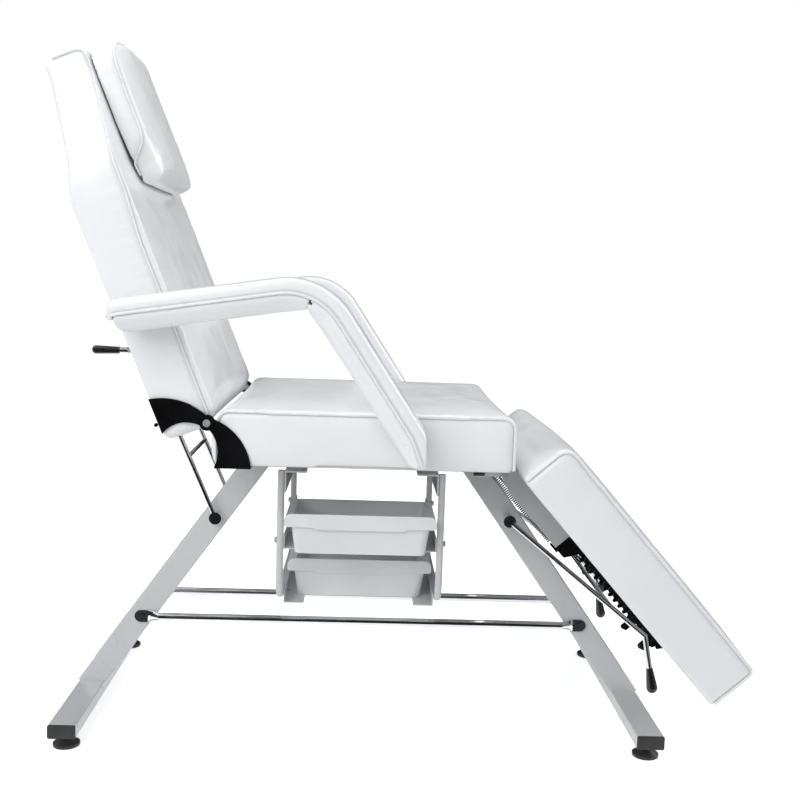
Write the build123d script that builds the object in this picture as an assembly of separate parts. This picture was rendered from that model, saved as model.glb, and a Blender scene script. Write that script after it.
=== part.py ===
from build123d import *
import os
from math import cos, hypot, pi, radians, sin, sqrt, tan

# Driving dimensions in millimetres. X runs to the foot end, Y to the left side and Z up.
FOOT_SPACING = 1058
FOOT_BAR_LENGTH = 600
FOOT_BAR_WIDTH = 50
FOOT_BAR_HEIGHT = 25
FLOOR_GAP = 25
FRAME_TOP = 525
FRAME_TUBE = 25
LEG_DEPTH = 46
LEG_TOP_SPACING = 416
LEG_PAIR_SPACING = 135
SEAT_OVERHANG = 54
SEAT_LENGTH = 526
CHAIR_WIDTH = 600
SEAT_THICKNESS = 98
BACK_LEAN = 22
BACK_LENGTH = 706
BACK_THICKNESS = 98
HEAD_THICKNESS = 80
HEAD_WIDTH = 344
LEGREST_DROP = 48.4
LEGREST_LENGTH = 546
LEGREST_THICKNESS = 100
CROWN = 8
BOARD = 15
PROP_ROD = 10
TIE_ROD_HEIGHT = 184

# Walls, fits and gaps
TUBE_WALL = 1.5
TUBE_CORNER = 3
RUNNING_FIT = 0.05
BOLT_FIT = 0.1
SOFT_GAP = 0.3
OVERRUN = 1
SIDE_OVERRUN = 2
REACH = 1500
BOLT_RADIUS = 4
BOLT_HEAD_RADIUS = 7
BOLT_HEAD = 5
NUT_WIDTH = 13
NUT_HEIGHT = 6.5
EDGE = 6
PIPED_EDGE = 4
DRAWN_IN = 3
DRAWN_IN_RADIUS = 3000
CROWN_RADIUS = 4500

# Places that follow from them
BAR_TOP = FLOOR_GAP + FOOT_BAR_HEIGHT
FRAME_BOTTOM = FRAME_TOP - FRAME_TUBE
LEG_SLOPE = (FOOT_SPACING - LEG_TOP_SPACING) / 2 / (FRAME_BOTTOM - BAR_TOP)
LEG_INNER = (LEG_PAIR_SPACING - FRAME_TUBE) / 2
LEG_OUTER = LEG_INNER + FRAME_TUBE
HALF_WIDTH = CHAIR_WIDTH / 2
SEAT_FRONT = LEG_TOP_SPACING / 2 + SEAT_OVERHANG
SEAT_REAR = SEAT_FRONT - SEAT_LENGTH
SEAT_CENTRE = (SEAT_REAR + SEAT_FRONT) / 2
SEAT_TOP = FRAME_TOP + SEAT_THICKNESS


def outline(corners):
    """A closed face in the XZ plane from (x, z, radius) corners."""
    points = [(x, 0, z) for x, z, radius in corners]
    radii = [radius for x, z, radius in corners]
    if max(radii) == 0:
        return make_face(Polyline(*points, close=True))
    return make_face(FilletPolyline(*points, radius=radii, close=True))


def sharp(points):
    """A closed face in the XZ plane with sharp corners."""
    return outline([(x, z, 0) for x, z in points])


def across(face, inner, outer):
    """An XZ face made solid on the right side, between two distances from the middle."""
    return Pos(0, -inner, 0) * extrude(face, outer - inner, dir=(0, -1, 0))


def both_sides(solid):
    """A right side solid together with its left side twin."""
    return solid + mirror(solid, about=Plane.XZ)


def block(x0, x1, y0, y1, z0, z1):
    """A box between two corners."""
    return Pos((x0 + x1) / 2, (y0 + y1) / 2, (z0 + z1) / 2) * Box(x1 - x0, y1 - y0, z1 - z0)


def pin(place, radius, inner, outer):
    """A round bar across the right side, centred on an XZ place."""
    middle = Pos(place[0], -(inner + outer) / 2, place[1])
    return middle * Rot(90, 0, 0) * Cylinder(radius, outer - inner)


def rod(start, end, radius):
    """A round bar between two points in space."""
    axis = Vector(*end) - Vector(*start)
    place = Plane(origin=start, z_dir=axis)
    return place * Cylinder(radius, axis.length, align=(Align.CENTER, Align.CENTER, Align.MIN))


def disc(place, radius):
    """A round XZ face."""
    return Plane(origin=(place[0], 0, place[1]), x_dir=(1, 0, 0), z_dir=(0, -1, 0)) * Circle(radius)


def slot(start, end, radius):
    """An XZ face round two places and the strip between them."""
    run = (end[0] - start[0], end[1] - start[1])
    length = hypot(*run)
    side = (-run[1] * radius / length, run[0] * radius / length)
    strip = sharp([(start[0] + side[0], start[1] + side[1]), (end[0] + side[0], end[1] + side[1]),
                   (end[0] - side[0], end[1] - side[1]), (start[0] - side[0], start[1] - side[1])])
    return strip + disc(start, radius) + disc(end, radius)


def nut(place, inner, outer):
    """A hexagon nut across the right side."""
    middle = Pos(place[0], -(inner + outer) / 2, place[1])
    hexagon = RegularPolygon(NUT_WIDTH / sqrt(3), 6)
    return middle * Rot(90, 0, 0) * extrude(hexagon, (outer - inner) / 2, both=True)


def tube_section(width, depth):
    """The section of a rectangular tube with rounded corners."""
    hollow = RectangleRounded(width - 2 * TUBE_WALL, depth - 2 * TUBE_WALL, TUBE_CORNER - TUBE_WALL)
    return RectangleRounded(width, depth, TUBE_CORNER) - hollow


def turned(point, centre, angle):
    """A side view point turned about a centre, in degrees from +Z towards +X."""
    x, z = point[0] - centre[0], point[1] - centre[1]
    turn = radians(angle)
    return (centre[0] + x * cos(turn) + z * sin(turn), centre[1] - x * sin(turn) + z * cos(turn))


def between(start, end, share):
    """The point at a share of the way from one point to another."""
    return tuple(a + (b - a) * share for a, b in zip(start, end))


def crowned_cross(half, low, edge, rise, radius, corner):
    """A cross outline with an arched top; the side outline cuts its bottom and the arch's peak."""
    return [(-half, low - EDGE, 0), (half, low - EDGE, 0), (half, edge, corner), (0, edge + 2 * rise, radius),
            (-half, edge, corner)]


def cushion(side, cross, plan):
    """The solid inside a side, a cross and a plan outline: x is length, y width, z thickness."""
    side_solid = extrude(outline(side), REACH, dir=(0, 1, 0), both=True)
    cross_face = make_face(FilletPolyline(*[(0, y, z) for y, z, radius in cross],
                                          radius=[radius for y, z, radius in cross], close=True))
    cross_solid = extrude(cross_face, REACH, dir=(1, 0, 0), both=True)
    plan_face = make_face(FilletPolyline(*[(x, y, 0) for x, y, radius in plan],
                                         radius=[radius for x, y, radius in plan], close=True))
    plan_solid = extrude(plan_face, REACH, dir=(0, 0, 1), both=True)
    return plan_solid & side_solid & cross_solid


# Hinge of the back, and the back's own axes: up along the panel and out of its front
HINGE_BEHIND_SEAT = 13.2
HINGE_BELOW_TOP = 22
BACK_HINGE = (SEAT_REAR - HINGE_BEHIND_SEAT, SEAT_TOP - HINGE_BELOW_TOP)
BACK_UP = (-sin(radians(BACK_LEAN)), cos(radians(BACK_LEAN)))
BACK_OUT = (cos(radians(BACK_LEAN)), sin(radians(BACK_LEAN)))
BACK_FOLD = 90 - BACK_LEAN


def on_back(up, out):
    """Side view place of a point given in the back's own axes."""
    return (BACK_HINGE[0] + up * BACK_UP[0] + out * BACK_OUT[0],
            BACK_HINGE[1] + up * BACK_UP[1] + out * BACK_OUT[1])


BACK_PLANE = Plane(origin=(BACK_HINGE[0], 0, BACK_HINGE[1]), x_dir=(BACK_UP[0], 0, BACK_UP[1]),
                   z_dir=(BACK_OUT[0], 0, BACK_OUT[1]))

# Hinge of the legrest, and its own axes: down along the panel and out of its top
LEGREST_HINGE_BEHIND_FRONT = 4
LEGREST_HINGE_BELOW_FRAME = 13
LEGREST_BOTTOM = 14
LEGREST_HINGE = (SEAT_FRONT - LEGREST_HINGE_BEHIND_FRONT, FRAME_TOP - LEGREST_HINGE_BELOW_FRAME)
LEGREST_ALONG = (cos(radians(LEGREST_DROP)), -sin(radians(LEGREST_DROP)))
LEGREST_OUT = (sin(radians(LEGREST_DROP)), cos(radians(LEGREST_DROP)))


def on_legrest(along, out):
    """Side view place of a point given in the legrest's own axes."""
    return (LEGREST_HINGE[0] + along * LEGREST_ALONG[0] + out * LEGREST_OUT[0],
            LEGREST_HINGE[1] + along * LEGREST_ALONG[1] + out * LEGREST_OUT[1])


def in_legrest(point):
    """A side view point in the legrest's own axes."""
    x, z = point[0] - LEGREST_HINGE[0], point[1] - LEGREST_HINGE[1]
    return (x * LEGREST_ALONG[0] + z * LEGREST_ALONG[1], x * LEGREST_OUT[0] + z * LEGREST_OUT[1])


def in_back(point):
    """A side view point in the back's own axes."""
    x, z = point[0] - BACK_HINGE[0], point[1] - BACK_HINGE[1]
    return (x * BACK_UP[0] + z * BACK_UP[1], x * BACK_OUT[0] + z * BACK_OUT[1])


LEGREST_PLANE = Plane(origin=(LEGREST_HINGE[0], 0, LEGREST_HINGE[1]),
                      x_dir=(LEGREST_ALONG[0], 0, LEGREST_ALONG[1]),
                      z_dir=(LEGREST_OUT[0], 0, LEGREST_OUT[1]))

# Foot bars, caps and levelling feet
CAP_FLANGE = 3
CAP_PLUG = 18
FOOT_SPREAD = 530
PAD_RADIUS = 24
PAD_RIM = 5
PAD_HEIGHT = 14
NECK_RADIUS = 11
NECK_TOP = 19
STEM_RADIUS = 5
STEM_TOP = 40
FOOT_NUT_WIDTH = 19
FOOT_NUT_GAP = 0.3


def foot_bar(x):
    """One foot bar across the chair, with the holes for its two stems."""
    length = FOOT_BAR_LENGTH - 2 * CAP_FLANGE
    section = tube_section(FOOT_BAR_WIDTH, FOOT_BAR_HEIGHT)
    bar = Pos(x, 0, FLOOR_GAP + FOOT_BAR_HEIGHT / 2) * Rot(90, 0, 0) * extrude(section, length / 2, both=True)
    for y in (-FOOT_SPREAD / 2, FOOT_SPREAD / 2):
        bar -= Pos(x, y, FLOOR_GAP) * Cylinder(STEM_RADIUS + RUNNING_FIT, 2 * (TUBE_WALL + OVERRUN))
    return bar


def foot_bar_cap(x):
    """The plug cap of a foot bar's right end."""
    flange = RectangleRounded(FOOT_BAR_WIDTH, FOOT_BAR_HEIGHT, TUBE_CORNER)
    plug_width = FOOT_BAR_WIDTH - 2 * (TUBE_WALL + BOLT_FIT)
    plug_depth = FOOT_BAR_HEIGHT - 2 * (TUBE_WALL + BOLT_FIT)
    plug = RectangleRounded(plug_width, plug_depth, TUBE_CORNER - TUBE_WALL)
    cap = extrude(flange, CAP_FLANGE) + Pos(0, 0, -CAP_PLUG) * extrude(plug, CAP_PLUG)
    end = FOOT_BAR_LENGTH / 2 - CAP_FLANGE
    return Pos(x, -end, FLOOR_GAP + FOOT_BAR_HEIGHT / 2) * Rot(90, 0, 0) * cap


def levelling_foot(x, y):
    """A round pad on a threaded stem with its lock nut."""
    profile = [(0, 0), (PAD_RADIUS, 0), (PAD_RADIUS, PAD_RIM), (NECK_RADIUS, PAD_HEIGHT),
               (NECK_RADIUS, NECK_TOP), (STEM_RADIUS, NECK_TOP), (STEM_RADIUS, STEM_TOP), (0, STEM_TOP)]
    turned_part = revolve(sharp(profile), Axis.Z)
    nut_height = FLOOR_GAP - FOOT_NUT_GAP - NECK_TOP
    hexagon = Pos(0, 0, NECK_TOP) * extrude(RegularPolygon(FOOT_NUT_WIDTH / sqrt(3), 6), nut_height)
    return Pos(x, y, 0) * (turned_part + hexagon)


# The back prop's bar, in a notch of the racks behind the back, and the prop's lean down to the rear legs
BACK_FRONT = 18
BACK_REAR = BACK_FRONT - BACK_THICKNESS
BACK_TOOTH_TIP = 15
BACK_BAR_DROP = 4.162
BACK_BAR_UP = 163.906
BACK_PROP_LEAN = 23.6
BACK_PROP_TIP = on_back(BACK_BAR_UP, BACK_REAR - BACK_TOOTH_TIP - BACK_BAR_DROP)
BACK_PROP_DOWN = (sin(radians(BACK_PROP_LEAN)), -cos(radians(BACK_PROP_LEAN)))

# Legs and seat frame; the rear pivot is where the back prop crosses the rear legs
SEAT_FRAME_WIDTH = 400
REAR_TUBE_LENGTH = 260
BACK_PROP_LENGTH = ((LEG_SLOPE * (BACK_PROP_TIP[1] - BAR_TOP) - FOOT_SPACING / 2 - BACK_PROP_TIP[0])
                    / (BACK_PROP_DOWN[0] - LEG_SLOPE * BACK_PROP_DOWN[1]))
REAR_PIVOT_HEIGHT = BACK_PROP_TIP[1] + BACK_PROP_LENGTH * BACK_PROP_DOWN[1]
FRONT_PIVOT_HEIGHT = 400


def leg_x(height):
    """Distance of a leg's centre line from the middle of the base at a height."""
    return FOOT_SPACING / 2 - LEG_SLOPE * (height - BAR_TOP)


REAR_PIVOT = (-leg_x(REAR_PIVOT_HEIGHT), REAR_PIVOT_HEIGHT)
FRONT_PIVOT = (leg_x(FRONT_PIVOT_HEIGHT), FRONT_PIVOT_HEIGHT)
TIE_BOLT = (leg_x(TIE_ROD_HEIGHT), TIE_ROD_HEIGHT)


def leg(pivot):
    """A right leg at the foot end, cut level at both ends, with its bolt holes."""
    middle = (BAR_TOP + FRAME_BOTTOM) / 2
    place = Plane(origin=(leg_x(middle), -LEG_PAIR_SPACING / 2, middle), x_dir=(1, 0, LEG_SLOPE),
                  z_dir=(-LEG_SLOPE, 0, 1))
    length = (FRAME_BOTTOM - BAR_TOP) * sqrt(1 + LEG_SLOPE ** 2) + 2 * LEG_DEPTH
    tube = place * extrude(tube_section(LEG_DEPTH, FRAME_TUBE), length / 2, both=True)
    tube &= block(0, REACH, -REACH, 0, BAR_TOP, FRAME_BOTTOM)
    for hole in (TIE_BOLT, pivot):
        tube -= pin(hole, BOLT_RADIUS + BOLT_FIT, LEG_INNER - OVERRUN, LEG_OUTER + OVERRUN)
    return tube


def seat_rails():
    """The two rails along the chair between the cross tubes."""
    length = LEG_TOP_SPACING - FRAME_TUBE
    rail = Rot(0, 90, 0) * extrude(tube_section(FRAME_TUBE, FRAME_TUBE), length / 2, both=True)
    return both_sides(Pos(0, -LEG_PAIR_SPACING / 2, FRAME_TOP - FRAME_TUBE / 2) * rail)


def seat_cross_tubes():
    """The two tubes across the chair over the tops of the legs; the front one carries the legrest."""
    height = FRAME_TOP - FRAME_TUBE / 2
    section = Rot(90, 0, 0) * tube_section(FRAME_TUBE, FRAME_TUBE)
    front = extrude(section, SEAT_FRAME_WIDTH / 2, both=True)
    rear = extrude(section, REAR_TUBE_LENGTH / 2, both=True)
    return Pos(LEG_TOP_SPACING / 2, 0, height) * front + Pos(-LEG_TOP_SPACING / 2, 0, height) * rear


# Tie rods with flattened ends
TIE_ROD_RADIUS = 8
TIE_ROD_WALL = 1.5
TIE_ROD_SETBACK = 36
TIE_FLARE = 22
TIE_END = 5
TIE_END_RADIUS = 12


def tie_rod():
    """The right tie rod: a round tube whose ends are pressed flat round their bolts."""
    flat_start = TIE_BOLT[0] - TIE_ROD_SETBACK + TIE_FLARE
    centre = LEG_OUTER + TIE_ROD_RADIUS
    half = TIE_BOLT[0] - TIE_ROD_SETBACK
    bar = rod((-half, -centre, TIE_ROD_HEIGHT), (half, -centre, TIE_ROD_HEIGHT), TIE_ROD_RADIUS)
    for side in (-1, 1):
        start = Plane(origin=(side * half, -centre, TIE_ROD_HEIGHT), x_dir=(0, 1, 0), z_dir=(1, 0, 0))
        end = Plane(origin=(side * flat_start, -LEG_OUTER - TIE_END / 2, TIE_ROD_HEIGHT), x_dir=(0, 1, 0),
                    z_dir=(1, 0, 0))
        flare = loft([start * Circle(TIE_ROD_RADIUS), end * RectangleRounded(TIE_END, 2 * TIE_END_RADIUS,
                                                                             TIE_END / 2 - RUNNING_FIT)])
        eye = slot((side * flat_start, TIE_ROD_HEIGHT), (side * TIE_BOLT[0], TIE_ROD_HEIGHT), TIE_END_RADIUS)
        eye &= sharp([(side * flat_start, 0), (side * REACH, 0), (side * REACH, REACH),
                      (side * flat_start, REACH)])
        bar += flare
        bar += across(eye, LEG_OUTER, LEG_OUTER + TIE_END)
    inner = half - OVERRUN
    bore = TIE_ROD_RADIUS - TIE_ROD_WALL
    bar -= rod((-inner, -centre, TIE_ROD_HEIGHT), (inner, -centre, TIE_ROD_HEIGHT), bore)
    for side in (-1, 1):
        bar -= pin((side * TIE_BOLT[0], TIE_ROD_HEIGHT), BOLT_RADIUS + BOLT_FIT, LEG_INNER, REACH)
    return bar


def bolt(place, inner, outer):
    """A bolt across the right side: shank from inner to outer, head outside and nut inside."""
    shank = pin(place, BOLT_RADIUS, inner - NUT_HEIGHT, outer)
    head = pin(place, BOLT_HEAD_RADIUS, outer, outer + BOLT_HEAD)
    return shank + head + nut(place, inner - NUT_HEIGHT, inner)


def tie_rod_bolts():
    """The four bolts that hold the tie rods to the legs."""
    bolts = bolt(TIE_BOLT, LEG_INNER, LEG_OUTER + TIE_END)
    bolts += bolt((-TIE_BOLT[0], TIE_ROD_HEIGHT), LEG_INNER, LEG_OUTER + TIE_END)
    return both_sides(bolts)


# Seat
SEAT_CORNER = 24
CROWN_RUN = 84
CROWN_BLEND = 200
SEAT_BOARD_INSET = 8
PLAN_CORNER = 14


def seat_board(gap):
    """The seat's board, grown by a gap where it cuts its pocket."""
    inset = SEAT_BOARD_INSET - gap
    return block(SEAT_REAR + inset, SEAT_FRONT - inset, inset - HALF_WIDTH, HALF_WIDTH - inset,
                 FRAME_TOP - gap, FRAME_TOP + BOARD + gap)


def seat_cushion():
    """The seat cushion round its board, with its crown and drawn-in sides."""
    crown_top = SEAT_TOP + CROWN
    side = [(SEAT_REAR, FRAME_TOP, EDGE), (SEAT_FRONT, FRAME_TOP, EDGE), (SEAT_FRONT, SEAT_TOP, SEAT_CORNER),
            (SEAT_FRONT - CROWN_RUN, crown_top, CROWN_BLEND), (SEAT_REAR + CROWN_RUN, crown_top, CROWN_BLEND),
            (SEAT_REAR, SEAT_TOP, SEAT_CORNER)]
    cross = crowned_cross(HALF_WIDTH, FRAME_TOP, SEAT_TOP, CROWN, CROWN_RADIUS, PIPED_EDGE)
    waist = HALF_WIDTH - DRAWN_IN
    plan = [(SEAT_REAR, -HALF_WIDTH, PLAN_CORNER), (SEAT_CENTRE, -waist, DRAWN_IN_RADIUS),
            (SEAT_FRONT, -HALF_WIDTH, PLAN_CORNER), (SEAT_FRONT, HALF_WIDTH, PLAN_CORNER),
            (SEAT_CENTRE, waist, DRAWN_IN_RADIUS), (SEAT_REAR, HALF_WIDTH, PLAN_CORNER)]
    body = cushion(side, cross, plan) - seat_board(SOFT_GAP)
    return body - both_sides(armrest_bolt_holes())


# Back hinge plates, in layers outside the cushions
PLATE = 4
PLATE_GAP = 0.5
PLATE_INNER = HALF_WIDTH + SOFT_GAP
PLATE_OUTER = PLATE_INNER + PLATE
TONGUE_INNER = PLATE_OUTER + PLATE_GAP
TONGUE_OUTER = TONGUE_INNER + PLATE
SEAT_PLATE_LENGTH = 76
SEAT_PLATE_BEND_SHARE = 0.75
SEAT_PLATE_BOTTOM = FRAME_TOP - SOFT_GAP - SEAT_PLATE_BEND_SHARE * PLATE
SEAT_PLATE_DROP = BACK_HINGE[1] - SEAT_PLATE_BOTTOM
SEAT_PLATE_OUTER_SHARES = ((0.13, -0.09), (0.70, 0.29), (1, 0.93))
SEAT_PLATE_INNER_SHARES = ((0.17, 0.97), (0.22, 0.45), (0.03, 0.14))
SEAT_PLATE_EYE = 14
SEAT_FLANGE_WIDTH = 30
WING_LENGTH = 101
WING_HEIGHT = 61
WING_TOP_SHARES = ((-1, 0.62), (-0.45, 0.60), (0.05, 0.13))
WING_BOTTOM_SHARES = ((-0.12, -0.07), (-0.44, -0.02), (-0.76, -0.36))
WING_CLEAR = 17
TONGUE_REACH = 40
TONGUE_EYE = 12
PIN_RADIUS = 5
PIN_HEAD_RADIUS = 6.5
PIN_HEAD = 2
PIN_POCKET = 11
PLATE_SCREW_RADIUS = 3.5
PLATE_SCREW_HEAD = 1.5
PLATE_SCREW_SHANK = 1.5


def arc_face(arcs):
    """A closed XZ face from arcs given by three (x, z) places each, joined by straight lines."""
    edges = []
    for number, arc in enumerate(arcs):
        start, middle, end = [(x, 0, z) for x, z in arc]
        following = arcs[(number + 1) % len(arcs)][0]
        edges.append(ThreePointArc(start, middle, end))
        edges.append(Line(end, (following[0], 0, following[1])))
    return make_face(edges)


def seat_plate_place(share):
    """A side view place on the seat's hinge plate from its shares."""
    return (BACK_HINGE[0] + share[0] * SEAT_PLATE_LENGTH, BACK_HINGE[1] - share[1] * SEAT_PLATE_DROP)


def wing_place(share):
    """A side view place on the back's hinge plate from its shares."""
    return (BACK_HINGE[0] + share[0] * WING_LENGTH, BACK_HINGE[1] + share[1] * WING_HEIGHT)


def seat_hinge_plate():
    """The right plate on the seat's side, with its eye for the pin and a flange under the seat."""
    outer = [seat_plate_place(share) for share in SEAT_PLATE_OUTER_SHARES]
    inner = [seat_plate_place(share) for share in SEAT_PLATE_INNER_SHARES]
    face = arc_face([outer, inner]) + disc(BACK_HINGE, SEAT_PLATE_EYE)
    foot = sharp([inner[0], outer[2], (outer[2][0], SEAT_PLATE_BOTTOM), (inner[0][0], SEAT_PLATE_BOTTOM)])
    plate = across(face + foot, PLATE_INNER, PLATE_OUTER)
    plate += block(inner[0][0], outer[2][0], -PLATE_OUTER, SEAT_FLANGE_WIDTH - PLATE_INNER,
                   SEAT_PLATE_BOTTOM, FRAME_TOP - SOFT_GAP)
    plate -= pin(BACK_HINGE, PIN_RADIUS + BOLT_FIT, PLATE_INNER - OVERRUN, TONGUE_INNER)
    for screw in seat_screw_places():
        plate -= pin(screw, PLATE_SCREW_SHANK + BOLT_FIT, PLATE_INNER - OVERRUN, TONGUE_INNER)
    return plate


def back_hinge_plate():
    """The right wing plate on the back's side, with a tongue over the seat's plate."""
    arcs = [[wing_place(share) for share in shares] for shares in (WING_TOP_SHARES, WING_BOTTOM_SHARES)]
    face = arc_face(arcs)
    clear = disc(BACK_HINGE, WING_CLEAR)
    near = face & disc(BACK_HINGE, TONGUE_REACH)
    plate = across(face - clear, PLATE_INNER, PLATE_OUTER)
    plate += across(near - clear, PLATE_INNER, TONGUE_OUTER)
    plate += across(near + disc(BACK_HINGE, TONGUE_EYE), TONGUE_INNER, TONGUE_OUTER)
    plate -= pin(BACK_HINGE, PIN_RADIUS + RUNNING_FIT, TONGUE_INNER - OVERRUN, TONGUE_OUTER + OVERRUN)
    for screw in back_screw_places():
        plate -= pin(screw, PLATE_SCREW_SHANK + BOLT_FIT, PLATE_INNER - OVERRUN, TONGUE_OUTER)
    return plate


SEAT_SCREW_SHARES = ((0.88, 0.88), (0.30, 0.88))
BACK_SCREW_SHARES = ((-0.90, 0.40), (-0.86, -0.10), (-0.62, 0.32))


def seat_screw_places():
    """Where the screws of the seat's plate go."""
    return [seat_plate_place(share) for share in SEAT_SCREW_SHARES]


def back_screw_places():
    """Where the screws of the back's plate go."""
    return [wing_place(share) for share in BACK_SCREW_SHARES]


def plate_screws(places):
    """Round head screws through a hinge plate on both sides."""
    top = PLATE_OUTER + PLATE_SCREW_HEAD
    screws = [pin(place, PLATE_SCREW_SHANK, PLATE_INNER, PLATE_OUTER)
              + pin(place, PLATE_SCREW_RADIUS, PLATE_OUTER, top) for place in places]
    right = screws[0]
    for screw in screws[1:]:
        right += screw
    return both_sides(right)


def back_hinge_pins():
    """The two shoulder rivets that the back turns on."""
    inner = PLATE_INNER - PIN_HEAD
    outer = TONGUE_OUTER + SOFT_GAP
    rivet = pin(BACK_HINGE, PIN_RADIUS, inner, outer)
    rivet += pin(BACK_HINGE, PIN_HEAD_RADIUS, inner, PLATE_INNER)
    rivet += pin(BACK_HINGE, PIN_HEAD_RADIUS, outer, outer + PIN_HEAD)
    return both_sides(rivet)


# Back
BACK_FOOT = 6
BACK_FOOT_CORNER = 20
BACK_STEP_START = 430
BACK_STEP_END = 487
BACK_STEP_BLEND = 40
TAPER_START = 475
TAPER_END = 655
TAPER_START_BLEND = 60
TAPER_END_BLEND = 40
BACK_TOP_CORNER = 24
HEAD_PLAN_CORNER = 24
BACK_CROWN_END = 390
BACK_BOARD = 12
BACK_BOARD_INSET = 20
BACK_TOP = BACK_LENGTH - BACK_FOOT
HEAD_REAR = BACK_FRONT - HEAD_THICKNESS


def back_plan(inset):
    """The back's outline from the front, drawn in by an inset."""
    wide = HALF_WIDTH - inset
    waist = wide - DRAWN_IN
    head = HEAD_WIDTH / 2 - inset
    foot_corner, head_corner = max(PLAN_CORNER - inset, EDGE), max(HEAD_PLAN_CORNER - inset, EDGE)
    half = [(inset - BACK_FOOT, wide, foot_corner), (TAPER_START / 2, waist, DRAWN_IN_RADIUS),
            (TAPER_START, wide, TAPER_START_BLEND), (TAPER_END, head, TAPER_END_BLEND),
            (BACK_TOP - inset, head, head_corner)]
    return half + [(x, -y, radius) for x, y, radius in reversed(half)]


def back_cushion():
    """The back cushion: a wide lower part that steps in and narrows to the head."""
    crown = BACK_FRONT + CROWN
    side = [(BACK_FRONT, BACK_FRONT, BACK_FOOT_CORNER), (-BACK_FOOT, -BACK_FOOT, EDGE),
            (-BACK_FOOT, BACK_REAR, PLAN_CORNER), (BACK_STEP_START, BACK_REAR, BACK_STEP_BLEND),
            (BACK_STEP_END, HEAD_REAR, BACK_STEP_BLEND), (BACK_TOP, HEAD_REAR, BACK_TOP_CORNER),
            (BACK_TOP, BACK_FRONT, BACK_TOP_CORNER), (BACK_CROWN_END + CROWN_RUN, BACK_FRONT, CROWN_BLEND),
            (BACK_CROWN_END, crown, CROWN_BLEND), (BACK_FRONT + CROWN_RUN, crown, CROWN_BLEND)]
    cross = crowned_cross(HALF_WIDTH, BACK_REAR, BACK_FRONT, CROWN, CROWN_RADIUS, PIPED_EDGE)
    body = BACK_PLANE * (cushion(side, cross, back_plan(0)) - back_board_shape(SOFT_GAP))
    pocket = pin(BACK_HINGE, PIN_POCKET, HALF_WIDTH - 3 * PIN_HEAD, PLATE_OUTER)
    return body - both_sides(pocket)


def back_board_shape(gap):
    """The back's board in the back's own axes, grown by a gap where it cuts its pocket."""
    low, high = BACK_REAR - gap, BACK_REAR + BACK_BOARD + gap
    step = HEAD_REAR - BACK_REAR
    foot, top = BACK_BOARD_INSET - BACK_FOOT - gap, BACK_TOP - BACK_BOARD_INSET + gap
    face = sharp([(foot, low), (BACK_STEP_START, low), (BACK_STEP_END, low + step), (top, low + step),
                  (top, high + step), (BACK_STEP_END, high + step), (BACK_STEP_START, high), (foot, high)])
    plan = back_plan(BACK_BOARD_INSET - gap)
    plan_face = make_face(FilletPolyline(*[(x, y, 0) for x, y, radius in plan],
                                         radius=[radius for x, y, radius in plan], close=True))
    side = extrude(face, HALF_WIDTH, dir=(0, 1, 0), both=True)
    return side & extrude(plan_face, REACH, dir=(0, 0, 1), both=True)


def back_board():
    """The board behind the back cushion."""
    return BACK_PLANE * back_board_shape(0)


# Head pillow and the strip that holds it
PILLOW_HALF = 175
PILLOW_FOOT = 432
PILLOW_TOP = 700
PILLOW_SIDE_DROP = 14
PILLOW_FOOT_DROP = 3
PILLOW_BULGE_RADIUS = 500
PILLOW_GAP = 2
PILLOW_WEDGE = 6
PILLOW_WEDGE_START = 540
PILLOW_SIDE_DEPTH = 46
PILLOW_CROWN = 12
PILLOW_CROWN_RADIUS = 1100
PILLOW_ROUND = 34
PILLOW_CORNER = 45
PILLOW_SIDE_EDGE = 10
STRIP_START = 560
STRIP_LENGTH = 90
STRIP_HALF = 60


def head_pillow():
    """The pillow on the head of the back, with a round lower end and a crown."""
    rear = BACK_FRONT + PILLOW_GAP
    edge = BACK_FRONT + PILLOW_SIDE_DEPTH
    front = edge + PILLOW_CROWN
    side = [(PILLOW_FOOT, rear + PILLOW_WEDGE, EDGE), (PILLOW_WEDGE_START, rear, 0),
            (PILLOW_TOP, rear, PILLOW_SIDE_EDGE), (PILLOW_TOP, front, PILLOW_ROUND / 2),
            (PILLOW_FOOT, front, PILLOW_ROUND)]
    cross = crowned_cross(PILLOW_HALF, rear, edge, PILLOW_CROWN, PILLOW_CROWN_RADIUS, PILLOW_SIDE_EDGE)
    foot, top = PILLOW_FOOT + PILLOW_FOOT_DROP, PILLOW_TOP - PILLOW_SIDE_DROP
    half, bulge = PILLOW_HALF, PILLOW_BULGE_RADIUS
    plan = [(foot, half, PLAN_CORNER), (PILLOW_FOOT, 0, bulge), (foot, -half, PLAN_CORNER),
            (top, -half, PILLOW_CORNER), (PILLOW_TOP, 0, bulge), (top, half, PILLOW_CORNER)]
    return BACK_PLANE * cushion(side, cross, plan)


def pillow_strip():
    """The hook-and-loop strip between the back and the pillow."""
    return BACK_PLANE * block(STRIP_START, STRIP_START + STRIP_LENGTH, -STRIP_HALF, STRIP_HALF,
                              BACK_FRONT, BACK_FRONT + PILLOW_GAP)


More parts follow.
